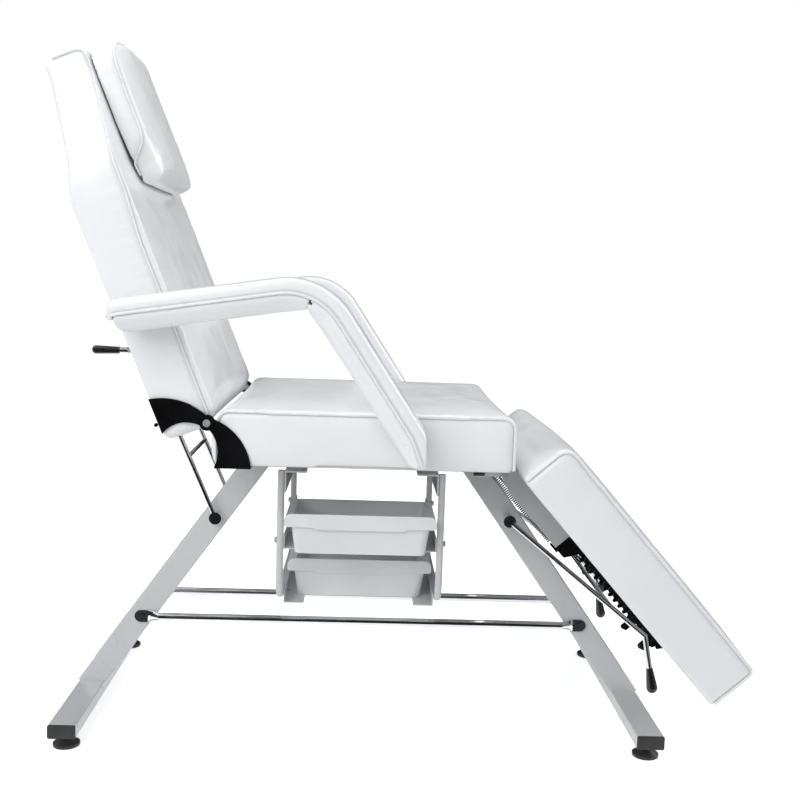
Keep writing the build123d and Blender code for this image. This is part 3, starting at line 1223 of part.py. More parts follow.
def spring_path():
    """The wire's path: an end loop, the coil in half turns, and the other end loop."""
    start, end, way, sideways, cross = spring_axes()
    inset = SPRING_RADIUS + SPRING_LEAD
    top = start + way * SPRING_RADIUS
    first, first_way = spring_coil_point(inset, 0.5 * pi, start, way, sideways, cross)
    path = [Edge.make_three_point_arc(top - sideways * SPRING_RADIUS, start, top + sideways * SPRING_RADIUS)]
    path += biarc(top + sideways * SPRING_RADIUS, way, first, first_way)
    halves = int(2 * SPRING_TURNS)
    point, point_way = first, first_way
    for number in range(1, halves + 1):
        angle = (0.5 + number) * pi
        following, following_way = spring_coil_point(inset + coil_length() * number / halves, angle,
                                                     start, way, sideways, cross)
        path += biarc(point, point_way, following, following_way)
        point, point_way = following, following_way
    base = end - way * SPRING_RADIUS
    side = sideways if point_way.dot(sideways) > 0 else sideways * -1
    path += biarc(point, point_way, base + side * SPRING_RADIUS, way)
    path.append(Edge.make_three_point_arc(base + side * SPRING_RADIUS, end, base - side * SPRING_RADIUS))
    return path


def legrest_spring():
    """The right spring as one unbroken wire."""
    path = spring_path()
    wire = Wire(path)
    start = path[0] @ 0
    place = Plane(origin=start, z_dir=path[0] % 0)
    return sweep(place * Circle(SPRING_WIRE / 2), path=wire)


def spring_gap():
    """The least gap between neighbouring turns, measured on points of the path."""
    points = [edge @ (step / ARC_POINTS) for edge in spring_path() for step in range(ARC_POINTS)]
    least = None
    for number, point in enumerate(points):
        for other in points[number + NEXT_TURN:number + ARC_POINTS * NEXT_TURN]:
            apart = (point - other).length
            least = apart if least is None else min(least, apart)
    return least - SPRING_WIRE


# Legrest racks
RACK_INNER_SIDE = 186
RACK_WIDTH = 24
RACK_END = 449
OUTER_TEETH = 11
INNER_TEETH = 17
TOOTH_PITCH = 14
RACK_HOOK_DROP = 40
RACK_HEEL_DROP = 36
RACK_HEEL = 29
RACK_HEEL_SLOPE = 18
HOOK_PLACES = (372, 422)
HOOK_WIDTHS = (14, 18)
POCKET_GAP = 0.4
POCKET_RUN = 14
POCKET_TURN = 10
TAB_HALF = 6
TAB_OPEN = 5


def legrest_prop_path(fold):
    """The legrest prop's peg in the legrest's own axes at a fold angle."""
    moved = turned(LEGREST_PROP_TIP, FRONT_PIVOT, -LEGREST_PROP_RATIO * fold)
    return in_legrest(turned(moved, LEGREST_HINGE, fold))


def toothed_edge(start, end, tip, valley):
    """Corners of a row of teeth from one end of a rack to the other, in the legrest's axes."""
    count = int((end - start) / TOOTH_PITCH)
    points = []
    for number in range(count):
        middle = start + (number + 0.5) * (end - start) / count
        base, top = TOOTH_PITCH * TOOTH_BASE_SHARE / 2, TOOTH_PITCH * TOOTH_TOP_SHARE / 2
        points += [(middle - base, valley), (middle - top, tip), (middle + top, tip), (middle + base, valley)]
    return points


def rack_flange(tip, valley):
    """A rack's toothed flange as an XZ face."""
    start = ARM_END + RACK_HEEL + RACK_HEEL_SLOPE
    points = [(ARM_END, LEGREST_BOTTOM), (ARM_END, valley), (start, valley)]
    points += toothed_edge(start, RACK_END, tip, valley)
    points += [(RACK_END, valley), (RACK_END, LEGREST_BOTTOM)]
    return sharp([on_legrest(*point) for point in points])


def legrest_rack():
    """The right rack: a channel with an outer row of teeth for the pegs and an inner one with hooks."""
    web = sharp([on_legrest(*point) for point in ((ARM_END, LEGREST_BOTTOM), (RACK_END, LEGREST_BOTTOM),
                 (RACK_END, LEGREST_BOTTOM - RACK_WALL), (ARM_END, LEGREST_BOTTOM - RACK_WALL))])
    outer_side = RACK_INNER_SIDE + RACK_WIDTH
    outer_valley = LEGREST_BOTTOM - RACK_WALL - POCKET_GAP
    outer = rack_flange(LEGREST_BOTTOM - OUTER_TEETH, outer_valley)
    for fold, towards in ((0, POCKET_TURN), (LEGREST_DROP, LEGREST_DROP - POCKET_TURN)):
        here, there = legrest_prop_path(fold), legrest_prop_path(towards)
        run = hypot(there[0] - here[0], there[1] - here[1])
        far = between(here, there, POCKET_RUN / run)
        outer -= slot(on_legrest(*here), on_legrest(*far), PROP_ROD / 2 + POCKET_GAP)
    inner = rack_flange(LEGREST_BOTTOM - INNER_TEETH, LEGREST_BOTTOM - INNER_TEETH / 2)
    for place, width in zip(HOOK_PLACES, HOOK_WIDTHS):
        inner += hook_face(place, width)
    inner += heel_face()
    rack = across(web, RACK_INNER_SIDE, outer_side)
    rack += across(outer, outer_side - RACK_WALL, outer_side)
    rack += across(inner, RACK_INNER_SIDE, RACK_INNER_SIDE + RACK_WALL)
    return rack + spring_tab()


def hook_face(place, width):
    """A hook under the rack, rounded at its tip."""
    low = LEGREST_BOTTOM - RACK_HOOK_DROP
    far = place + width
    corners = [(place, LEGREST_BOTTOM, 0), (place, low, width / 3), (far, low + width / 2, width / 4),
               (far, LEGREST_BOTTOM, 0)]
    return outline([(*on_legrest(along, out), radius) for along, out, radius in corners])


def heel_face():
    """The rack's tall upper end."""
    low = LEGREST_BOTTOM - RACK_HEEL_DROP
    corners = [(ARM_END, LEGREST_BOTTOM, 0), (ARM_END, low, EDGE), (ARM_END + RACK_HEEL, low, EDGE),
               (ARM_END + RACK_HEEL + RACK_HEEL_SLOPE, LEGREST_BOTTOM, 0)]
    return outline([(*on_legrest(along, out), radius) for along, out, radius in corners])


def spring_tab():
    """The bent tab whose open hook holds the spring's lower loop."""
    low, high = -SPRING_END_OUT - TAB_HALF, TAB_HALF - SPRING_END_OUT
    far = ARM_END + 2 * TAB_HALF
    corners = [(ARM_END - TAB_OPEN, low), (far, low), (far, high), (ARM_END - TAB_OPEN, high)]
    face = sharp([on_legrest(*corner) for corner in corners])
    face -= slot(SPRING_END, on_legrest(ARM_END - 2 * TAB_HALF, -SPRING_END_OUT), TAB_NOTCH)
    plate = across(face, SPRING_SIDE - LUG / 2, SPRING_SIDE + LUG / 2)
    bridge = [(far - LUG, low), (far, low), (far, high), (far - LUG, high)]
    return plate + across(sharp([on_legrest(*corner) for corner in bridge]), SPRING_SIDE - LUG / 2,
                          RACK_INNER_SIDE + RACK_WALL)


# Legrest prop
PEG_ALONG = 402.487
PEG_DROP = 11.622
LEGREST_PROP_TIP = on_legrest(PEG_ALONG, LEGREST_BOTTOM - PEG_DROP)
LEGREST_PROP_RATIO = 1.195
LEGREST_BRACE_SHARE = 0.75
PEG_END = 195
LEGREST_STEM = 62.2
LEGREST_HANDLE_LEAN = 10.8
LEGREST_GRIP_LARGE = 10.5
LEGREST_HANDLE = (sin(radians(LEGREST_HANDLE_LEAN)), -cos(radians(LEGREST_HANDLE_LEAN)))


def legrest_prop():
    """The chromed prop under the legrest, with its pegs and handle stems."""
    foot = (FRONT_PIVOT[0], -PROP_PIVOT_SIDE, FRONT_PIVOT[1])
    head = (LEGREST_PROP_TIP[0], -PROP_TIP_SIDE, LEGREST_PROP_TIP[1])
    half = prop(foot, head, PROP_ROD) + Pos(*head) * Sphere(PROP_ROD / 2)
    half += rod(head, (head[0], -PEG_END, head[2]), PROP_ROD / 2)
    stem = stem_end(LEGREST_PROP_TIP, LEGREST_HANDLE, LEGREST_STEM + GRIP_SOCKET - OVERRUN)
    half += rod(head, stem, PROP_ROD / 2)
    return both_sides(half) + bar_across(between(foot, head, LEGREST_BRACE_SHARE), BRACE_ROD)


def legrest_prop_grips():
    """The grips on the legrest prop's handles."""
    start = stem_end(LEGREST_PROP_TIP, LEGREST_HANDLE, LEGREST_STEM)
    return both_sides(grip(start, LEGREST_HANDLE, LEGREST_GRIP_LARGE))


def nodes():
    """Every node of the chair with its solids, still about the middle of the base."""
    made = {}
    half_base = FOOT_SPACING / 2
    made["front_foot_bar"] = foot_bar(half_base)
    made["rear_foot_bar"] = foot_bar(-half_base)
    made["foot_bar_caps"] = both_sides(foot_bar_cap(half_base) + foot_bar_cap(-half_base))
    for side, y in (("right", -FOOT_SPREAD / 2), ("left", FOOT_SPREAD / 2)):
        made["levelling_foot_front_" + side] = levelling_foot(half_base, y)
        made["levelling_foot_rear_" + side] = levelling_foot(-half_base, y)
    front_leg = leg(FRONT_PIVOT)
    rear_leg = mirror(leg((-REAR_PIVOT[0], REAR_PIVOT[1])), about=Plane.YZ)
    made["seat_rails"] = seat_rails()
    made["seat_cross_tubes"] = seat_cross_tubes()
    made["tie_rod_bolts"] = tie_rod_bolts()
    made["seat_board"] = seat_board(0)
    made["seat_cushion"] = seat_cushion()
    made["seat_plate_screws"] = plate_screws(seat_screw_places())
    made["back_hinge_pins"] = back_hinge_pins()
    made["armrest_bolts"] = armrest_bolts()
    made["tray_frame_rear"] = tray_frame(-1) - rack_bolt_holes()
    made["tray_frame_front"] = tray_frame(1) - rack_bolt_holes()
    made["tray_mount_angles"] = mount_angles()
    made["upper_tray_runners"] = upper_runners()
    made["lower_tray_runners"] = lower_runners()
    made["tray_frame_bolts"] = tray_frame_bolts()
    made["legrest_ears"] = legrest_ears()
    made["legrest_hinge_pins"] = legrest_hinge_pins()
    made["prop_pivot_bolts"] = prop_pivot_bolts()
    made["prop_spacers"] = prop_spacers()
    made["back_board"] = back_board()
    made["back_cushion"] = back_cushion()
    made["back_plate_screws"] = plate_screws(back_screw_places())
    made["back_racks"] = back_racks()
    made["head_pillow"] = head_pillow()
    made["pillow_strip"] = pillow_strip()
    made["back_prop"] = back_prop()
    made["back_prop_grips"] = back_prop_grips()
    made["legrest_board"] = legrest_board()
    made["legrest_cushion"] = legrest_cushion()
    made["legrest_arms"] = legrest_arms()
    made["legrest_prop"] = legrest_prop()
    made["legrest_prop_grips"] = legrest_prop_grips()
    made["tray_upper"] = tray(UPPER_TRAY_FRONT, UPPER_TRAY_BOTTOM)
    made["tray_lower"] = tray(LOWER_TRAY_FRONT, LOWER_TRAY_BOTTOM)
    pairs = {"leg_front": front_leg, "leg_rear": rear_leg, "tie_rod": tie_rod(),
             "seat_hinge_plate": seat_hinge_plate(), "back_hinge_plate": back_hinge_plate(),
             "armrest_core": armrest_core(), "armrest_cover": armrest_cover(), "armrest_pads": armrest_pads(),
             "legrest_rack": legrest_rack(), "legrest_spring": legrest_spring()}
    for name, solid in pairs.items():
        made[name + "_right"] = solid
        made[name + "_left"] = mirror(solid, about=Plane.XZ)
    return made


def middle_of(made):
    """Half way between the part's two ends along X."""
    boxes = [solid.bounding_box() for solid in made.values()]
    return (min(box.min.X for box in boxes) + max(box.max.X for box in boxes)) / 2


PARTS = nodes()
SHIFT = -middle_of(PARTS)
os.makedirs("parts", exist_ok=True)
for node, solid in PARTS.items():
    export_step(Pos(SHIFT, 0, 0) * solid, "parts/" + node + ".step")
print("spring's least gap between turns:", round(spring_gap(), 2), "mm")
print("nodes:", len(PARTS), "origin shift:", round(SHIFT, 2), "mm")
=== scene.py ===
from math import cos, exp, pi, radians, sin, tan

import bmesh
import bpy
import numpy as np
from mathutils import Matrix, Vector, noise
from mathutils.bvhtree import BVHTree
from mathutils.kdtree import KDTree


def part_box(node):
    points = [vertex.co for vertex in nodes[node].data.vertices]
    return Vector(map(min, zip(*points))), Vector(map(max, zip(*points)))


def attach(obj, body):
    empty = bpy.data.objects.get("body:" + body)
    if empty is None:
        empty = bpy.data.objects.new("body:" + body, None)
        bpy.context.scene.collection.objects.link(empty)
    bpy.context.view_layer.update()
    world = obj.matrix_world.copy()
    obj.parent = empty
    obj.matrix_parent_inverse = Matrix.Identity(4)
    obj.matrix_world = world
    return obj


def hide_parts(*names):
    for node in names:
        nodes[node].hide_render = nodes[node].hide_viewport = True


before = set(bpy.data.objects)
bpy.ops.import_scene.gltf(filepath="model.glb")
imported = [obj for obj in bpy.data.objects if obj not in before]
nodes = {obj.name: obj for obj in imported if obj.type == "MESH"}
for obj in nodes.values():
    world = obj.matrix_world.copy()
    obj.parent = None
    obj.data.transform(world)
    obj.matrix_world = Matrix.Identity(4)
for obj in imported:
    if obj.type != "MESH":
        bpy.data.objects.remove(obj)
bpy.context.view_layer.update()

scene = bpy.context.scene


# Studio
# A white room with a big soft lamp left of the camera and weaker ones above it and past its foot.
# Black cards at its front and rear, which only reflections can see, give the chrome its dark bands.
CAMERA_PLACE = (-.00874, -2.16771, .86405)
CAMERA_LENS = 48.887
CAMERA_YAW, CAMERA_PITCH, CAMERA_ROLL = radians(1.9284), radians(6.5403), radians(1.8886)
ROOM_LIGHT = .49
FLOOR_LIFT = .62
CARD_HALF, CARD_NEAR, CARD_AWAY, CARD_LOW, CARD_HIGH = 2.4, .45, 1.0, .004, 1.7
FLOOR_HALF = 9
FLOOR_DROP = .0004
LAMPS = (("key", (-1.5, -2.6, 2.3), .6, 2.2, 54), ("top", (-.2, .3, 3.2), .5, 2.4, 19),
         ("side_fill", (2.9, .9, 2.1), .6, 2.4, 50))


def middle(node):
    """The middle of the box round one of the chair's solid pieces."""
    low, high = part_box(node)
    return (low + high) / 2


def flat_card(name, corners, material):
    """A flat quad with its own material."""
    mesh = bpy.data.meshes.new(name)
    mesh.from_pydata(corners, [], [tuple(range(len(corners)))])
    mesh.materials.append(material)
    card = bpy.data.objects.new(name, mesh)
    scene.collection.objects.link(card)
    return card


def soft_lamp(name, place, target, size, power):
    """A square soft lamp that points at a target."""
    lamp = bpy.data.lights.new(name, "AREA")
    lamp.shape, lamp.size, lamp.energy = "SQUARE", size, power
    holder = bpy.data.objects.new(name, lamp)
    holder.location = place
    holder.rotation_euler = (Vector(target) - Vector(place)).to_track_quat("-Z", "Y").to_euler()
    scene.collection.objects.link(holder)
    return holder


def shown(tree):
    """A value that is 1 where the camera, a reflection or a clear part looks at a backdrop."""
    ray = tree.nodes.new("ShaderNodeLightPath")
    value = ray.outputs["Is Camera Ray"]
    for other in ("Is Glossy Ray", "Is Transmission Ray"):
        either = tree.nodes.new("ShaderNodeMath")
        either.operation = "MAXIMUM"
        tree.links.new(value, either.inputs[0])
        tree.links.new(ray.outputs[other], either.inputs[1])
        value = either.outputs[0]
    return value


base_x = (middle("front_foot_bar").x + middle("rear_foot_bar").x) / 2
ahead = Vector((sin(CAMERA_YAW) * cos(CAMERA_PITCH), cos(CAMERA_YAW) * cos(CAMERA_PITCH),
                -sin(CAMERA_PITCH)))
sideways = Vector((cos(CAMERA_YAW), -sin(CAMERA_YAW), 0))
above = sideways.cross(ahead)
camera_x = sideways * cos(CAMERA_ROLL) + above * sin(CAMERA_ROLL)
camera_y = above * cos(CAMERA_ROLL) - sideways * sin(CAMERA_ROLL)
camera = bpy.data.objects.new("camera", bpy.data.cameras.new("camera"))
camera.data.lens = CAMERA_LENS
camera.data.clip_start = .05
turn = Matrix((camera_x, camera_y, -ahead)).transposed().to_4x4()
camera.matrix_world = Matrix.Translation(Vector(CAMERA_PLACE) + Vector((base_x, 0, 0))) @ turn
scene.collection.objects.link(camera)
scene.camera = camera
scene.view_settings.view_transform = "Standard"

world = bpy.data.worlds.new("room")
world.use_nodes = True
scene.world = world
air = world.node_tree
room = air.nodes["Background"]
room.inputs["Color"].default_value = (.96, .97, 1, 1)
room.inputs["Strength"].default_value = ROOM_LIGHT
seen = air.nodes.new("ShaderNodeBackground")
seen.inputs["Color"].default_value = (1, 1, 1, 1)
choice = air.nodes.new("ShaderNodeMixShader")
air.links.new(shown(air), choice.inputs[0])
air.links.new(room.outputs[0], choice.inputs[1])
air.links.new(seen.outputs[0], choice.inputs[2])
air.links.new(choice.outputs[0], air.nodes["World Output"].inputs["Surface"])

pale = bpy.data.materials.new("pale_floor")
pale.use_nodes = True
floor_shader = pale.node_tree.nodes["Principled BSDF"]
floor_shader.inputs["Base Color"].default_value = (.88, .88, .88, 1)
floor_shader.inputs["Roughness"].default_value = .8
lift = pale.node_tree.nodes.new("ShaderNodeEmission")
lift.inputs["Strength"].default_value = FLOOR_LIFT
lit = pale.node_tree.nodes.new("ShaderNodeAddShader")
plain = pale.node_tree.nodes.new("ShaderNodeMixShader")
for source, target in ((floor_shader.outputs[0], lit.inputs[0]), (lift.outputs[0], lit.inputs[1]),
                       (shown(pale.node_tree), plain.inputs[0]), (floor_shader.outputs[0], plain.inputs[1]),
                       (lit.outputs[0], plain.inputs[2]),
                       (plain.outputs[0], pale.node_tree.nodes["Material Output"].inputs["Surface"])):
    pale.node_tree.links.new(source, target)
flat_card("floor", [(-FLOOR_HALF, -FLOOR_HALF, -FLOOR_DROP), (FLOOR_HALF, -FLOOR_HALF, -FLOOR_DROP),
                    (FLOOR_HALF, FLOOR_HALF, -FLOOR_DROP), (-FLOOR_HALF, FLOOR_HALF, -FLOOR_DROP)], pale)

dark = bpy.data.materials.new("black_card")
dark.use_nodes = True
dark.node_tree.nodes["Principled BSDF"].inputs["Base Color"].default_value = (.01, .01, .01, 1)
dark.node_tree.nodes["Principled BSDF"].inputs["Roughness"].default_value = 1
for name, side in (("front", -1), ("rear", 1)):
    y, near_y = side * CARD_AWAY, side * CARD_NEAR
    card = flat_card("card_" + name, [(-CARD_HALF, y, CARD_LOW), (CARD_HALF, y, CARD_LOW),
                                      (CARD_HALF, y, CARD_HIGH), (-CARD_HALF, y, CARD_HIGH)], dark)
    laid = flat_card("card_laid_" + name, [(-CARD_HALF, near_y, CARD_LOW), (CARD_HALF, near_y, CARD_LOW),
                                           (CARD_HALF, y, CARD_LOW), (-CARD_HALF, y, CARD_LOW)], dark)
    for part in (card, laid):
        part.visible_camera = part.visible_diffuse = False
        part.visible_shadow = part.visible_transmission = False

for name, place, target_height, size, power in LAMPS:
    soft_lamp(name, place, (0, 0, target_height), size, power)


# Painted frame
# Square steel tubes, welded and painted white: foot bars, four raked legs, seat rails and the
# lighter tubes, angles and runners that carry the trays. The paint has a faint orange peel.
PAINT_DARK, PAINT_LIGHT = (.60, .605, .615), (.66, .665, .675)
PAINTED = ("front_foot_bar", "rear_foot_bar", "leg_front_right", "leg_front_left", "leg_rear_right",
           "leg_rear_left", "seat_rails", "seat_cross_tubes", "tray_frame_rear", "tray_frame_front",
           "tray_mount_angles", "upper_tray_runners", "lower_tray_runners", "legrest_ears")
LOW_NOISE, HIGH_NOISE = .3, .7


def finish(name, roughness, metallic=0, coat=0, coat_roughness=.1):
    """A new material with its plain numbers set on the shader."""
    material = bpy.data.materials.new(name)
    material.use_nodes = True
    shader = material.node_tree.nodes["Principled BSDF"]
    shader.inputs["Roughness"].default_value = roughness
    shader.inputs["Metallic"].default_value = metallic
    shader.inputs["Coat Weight"].default_value = coat
    shader.inputs["Coat Roughness"].default_value = coat_roughness
    return material


def grain(material, scale, detail=2, stretch=(1, 1, 1), twist=0):
    """Cloudy noise on the piece's own coordinates."""
    tree = material.node_tree
    place = tree.nodes.new("ShaderNodeTexCoord")
    spread = tree.nodes.new("ShaderNodeMapping")
    spread.inputs["Scale"].default_value = stretch
    cloud = tree.nodes.new("ShaderNodeTexNoise")
    cloud.inputs["Scale"].default_value = scale
    cloud.inputs["Detail"].default_value = detail
    cloud.inputs["Distortion"].default_value = twist
    tree.links.new(place.outputs["Object"], spread.inputs["Vector"])
    tree.links.new(spread.outputs[0], cloud.inputs["Vector"])
    return cloud.outputs["Fac"]


def tinted(material, value, dark, light):
    """Colours a material between two shades by a noise value."""
    tree = material.node_tree
    ramp = tree.nodes.new("ShaderNodeValToRGB")
    first, last = ramp.color_ramp.elements[0], ramp.color_ramp.elements[1]
    first.position, first.color = LOW_NOISE, (*dark, 1)
    last.position, last.color = HIGH_NOISE, (*light, 1)
    tree.links.new(value, ramp.inputs[0])
    tree.links.new(ramp.outputs[0], tree.nodes["Principled BSDF"].inputs["Base Color"])
    return ramp.outputs[0]


def polished(material, value, low, high):
    """Varies a material's roughness between two limits by a noise value."""
    tree = material.node_tree
    limits = tree.nodes.new("ShaderNodeMapRange")
    for socket, limit in (("From Min", LOW_NOISE), ("From Max", HIGH_NOISE),
                          ("To Min", low), ("To Max", high)):
        limits.inputs[socket].default_value = limit
    tree.links.new(value, limits.inputs["Value"])
    tree.links.new(limits.outputs[0], tree.nodes["Principled BSDF"].inputs["Roughness"])


def embossed(material, value, depth, strength=1):
    """Adds relief of a given depth to a material, over any relief that it has."""
    tree = material.node_tree
    bump = tree.nodes.new("ShaderNodeBump")
    bump.inputs["Distance"].default_value = depth
    bump.inputs["Strength"].default_value = strength
    normal = tree.nodes["Principled BSDF"].inputs["Normal"]
    if normal.is_linked:
        tree.links.new(normal.links[0].from_socket, bump.inputs["Normal"])
    tree.links.new(value, bump.inputs["Height"])
    tree.links.new(bump.outputs[0], normal)


def coated(names, material):
    """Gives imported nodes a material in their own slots."""
    for name in names:
        for place in nodes[name].material_slots:
            place.material = material


white_paint = finish("white_paint", .3, coat=.3, coat_roughness=.15)
tinted(white_paint, grain(white_paint, 6, 4), PAINT_DARK, PAINT_LIGHT)
polished(white_paint, grain(white_paint, 40, 3), .26, .4)
embossed(white_paint, grain(white_paint, 700, 1), .0002, .12)
coated(PAINTED, white_paint)


# Chromed rods
# The two tie rods, the props of the back and of the legrest, and the bolts they turn on are
# bright chromed steel, with faint smears and the slight waviness of drawn and plated rod.
CHROMED = ("tie_rod_right", "tie_rod_left", "back_prop", "legrest_prop", "prop_pivot_bolts",
           "prop_spacers", "tie_rod_bolts")
chrome = finish("chrome", .07, metallic=1)
tinted(chrome, grain(chrome, 9, 3), (.70, .71, .73), (.83, .84, .86))
polished(chrome, grain(chrome, 60, 3), .05, .13)
embossed(chrome, grain(chrome, 90, 2), .0003, .08)
coated(CHROMED, chrome)


# Other steel
# The legrest's arms are white-painted steel plate, coloured a smooth mid grey as painted shade, and the
# armrests' bars are bare. The springs are wound from oiled wire, and the hinge pins and small bolts are
# zinc plated.
steel = finish("grey_steel", .4, metallic=.85)
tinted(steel, grain(steel, 30, 4), (.34, .345, .35), (.48, .485, .49))
polished(steel, grain(steel, 120, 3, stretch=(1, 1, 4)), .32, .5)
embossed(steel, grain(steel, 500, 2), .0001, .2)
coated(("armrest_core_right", "armrest_core_left"), steel)
# Painted shade: the arms' white paint is coloured mid grey, as it looks in shade.
arm_paint_painted_shade = finish("arm_paint_in_painted_shade", .38, coat=.2, coat_roughness=.2)
tinted(arm_paint_painted_shade, grain(arm_paint_painted_shade, 12, 3), (.38, .385, .39), (.43, .435, .44))
polished(arm_paint_painted_shade, grain(arm_paint_painted_shade, 60, 3), .32, .44)
embossed(arm_paint_painted_shade, grain(arm_paint_painted_shade, 600, 1), .0002, .1)
coated(("legrest_arms",), arm_paint_painted_shade)
wire = finish("spring_wire", .34, metallic=.9)
tinted(wire, grain(wire, 50, 3), (.14, .14, .145), (.26, .26, .27))
polished(wire, grain(wire, 300, 2), .28, .42)
coated(("legrest_spring_right", "legrest_spring_left"), wire)
zinc = finish("zinc_plate", .4, metallic=.75)
tinted(zinc, grain(zinc, 120, 3), (.66, .67, .69), (.80, .81, .83))
polished(zinc, grain(zinc, 260, 2), .32, .46)
coated(("back_hinge_pins", "legrest_hinge_pins", "armrest_bolts", "tray_frame_bolts"), zinc)


# Black steel
# Hinge plates, racks and their hooks are pressed from sheet and coated gloss black. The plates
# are screwed to the sides of the cushions' boards, and fine dust shows on them. The back's racks
# end in hooks that barely stand out past their teeth.
gloss_black = finish("gloss_black", .14, coat=.3, coat_roughness=.05)
tinted(gloss_black, grain(gloss_black, 14, 4), (.003, .003, .0035), (.007, .007, .008))
polished(gloss_black, grain(gloss_black, 40, 4), .1, .24)
embossed(gloss_black, grain(gloss_black, 300, 1), .0002, .06)
coated(("seat_hinge_plate_right", "seat_hinge_plate_left", "back_hinge_plate_right",
        "back_hinge_plate_left", "legrest_rack_right", "legrest_rack_left", "seat_plate_screws",
        "back_plate_screws"), gloss_black)

BACK_LEAN = radians(22)
TOOTH_TIPS, HOOK_SHARE = -.0955, .12
back_hinge = middle("back_hinge_pins")
out_of_back = Vector((cos(BACK_LEAN), 0, sin(BACK_LEAN)))


def back_place(place):
    """How far a place is up the back from its hinge, and how far out from its board."""
    arm = place - back_hinge
    return arm.z * cos(BACK_LEAN) - arm.x * sin(BACK_LEAN), arm.x * cos(BACK_LEAN) + arm.z * sin(BACK_LEAN)


rack_mesh = bpy.data.meshes.new("back_rack_rails")
rack_shape = bmesh.new()
rack_shape.from_mesh(nodes["back_racks"].data)
bmesh.ops.remove_doubles(rack_shape, verts=rack_shape.verts, dist=1e-6)
for vertex in rack_shape.verts:
    past = TOOTH_TIPS - back_place(vertex.co)[1]
    if past > 0:
        vertex.co += out_of_back * past * (1 - HOOK_SHARE)
rack_shape.to_mesh(rack_mesh)
rack_shape.free()
rack_mesh.materials.append(gloss_black)
racks = bpy.data.objects.new("back_rack_rails", rack_mesh)
scene.collection.objects.link(racks)
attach(racks, "back")
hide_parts("back_racks")


# Black plastic
# The moulded plugs in the ends of the foot bars and the round screw feet under them are dull. The
# dipped grips on the handles of both props are glossy.
plastic = finish("black_plastic", .45)
tinted(plastic, grain(plastic, 25, 3), (.012, .012, .013), (.028, .028, .03))
polished(plastic, grain(plastic, 80, 3), .32, .5)
embossed(plastic, grain(plastic, 900, 1), .0001, .3)
coated(("foot_bar_caps", "levelling_foot_front_right", "levelling_foot_front_left",
        "levelling_foot_rear_right", "levelling_foot_rear_left"), plastic)
dipped = finish("dipped_grip", .22, coat=.3, coat_roughness=.12)
tinted(dipped, grain(dipped, 40, 3), (.008, .008, .009), (.016, .016, .018))
polished(dipped, grain(dipped, 90, 3), .18, .3)
embossed(dipped, grain(dipped, 160, 2), .0004, .15)
coated(("back_prop_grips", "legrest_prop_grips"), dipped)


# Trays
# Two white trays moulded in one piece each from polypropylene, with a thick rolled rim. They
# hang in the runners and slide out sideways.
moulded = finish("white_plastic", .4)
moulded_shader = moulded.node_tree.nodes["Principled BSDF"]
moulded_shader.inputs["Subsurface Weight"].default_value = .08
moulded_shader.inputs["Subsurface Radius"].default_value = (.002, .002, .002)
tinted(moulded, grain(moulded, 12, 3), (.74, .745, .755), (.80, .805, .81))
polished(moulded, grain(moulded, 50, 3), .34, .46)
embossed(moulded, grain(moulded, 1200, 1), .0001, .25)
coated(("tray_upper", "tray_lower"), moulded)


# Boards and strip
# Boards close the undersides of the seat, back and legrest, and are covered with a pale felted
# backing cloth that is stapled on. A square of hook-and-loop tape holds the pillow.
backing = finish("backing_cloth", .85)
tinted(backing, grain(backing, 420, 5, twist=2), (.52, .52, .525), (.64, .64, .645))
polished(backing, grain(backing, 60, 3), .78, .92)
embossed(backing, grain(backing, 600, 4, twist=2), .0004, .4)
coated(("seat_board", "back_board", "legrest_board"), backing)
tape = finish("hook_and_loop", .9)
tinted(tape, grain(tape, 900, 2), (.55, .55, .56), (.8, .8, .8))
embossed(tape, grain(tape, 1500, 1), .0008, .8)
coated(("pillow_strip",), tape)


# Seat cushion
# Foam on a board under glossy white vinyl, cut as a long band over front, top and rear with a flat
# panel on each side. The panels are joined to the band by a piped seam that puckers the vinyl.
VOXEL, EASING = .006, 4
PRESSURE, CLOTH_FRAMES = 4, 20
SWELL = .006
HELD = .010
BOARD_NEAR, BOARD_SHY = .0016, .003
REAR_BULGE, REAR_BULGE_RUN, REAR_BULGE_TOP = .008, .03, .598
SEAT_TOP, SEAT_CORNER, SEAT_HEM = .623, .024, .003
HALF_WIDTH = .300
PIPING = .0027
SEAM_LIFT, SEAM_STEP, SEAM_PASSES = .0008, .003, 6
# Painted shade: how dark the grey line painted along each seam is, and how far it spreads.
PAINTED_SEAM_SHADE, PAINTED_SEAM_SHADE_REACH = .75, .0038
PUCKER_SCALE, FINE_PUCKER_SCALE, FINE_PUCKER_SHARE = 75, 190, .6
PUCKER_START = .006


def settled(piece):
    """Replaces a piece's mesh by its evaluated one, with no modifier left."""
    made = bpy.data.meshes.new_from_object(piece.evaluated_get(bpy.context.evaluated_depsgraph_get()))
    piece.modifiers.clear()
    piece.data = made
    return piece


def search_tree(points):
    """A tree that finds the nearest of some points."""
    tree = KDTree(len(points))
    for index, point in enumerate(points):
        tree.insert(point, index)
    tree.balance()
    return tree


def surface(mesh):
    """A tree that finds the nearest place on a mesh's faces."""
    return BVHTree.FromPolygons([vertex.co for vertex in mesh.vertices],
                                [list(face.vertices) for face in mesh.polygons])


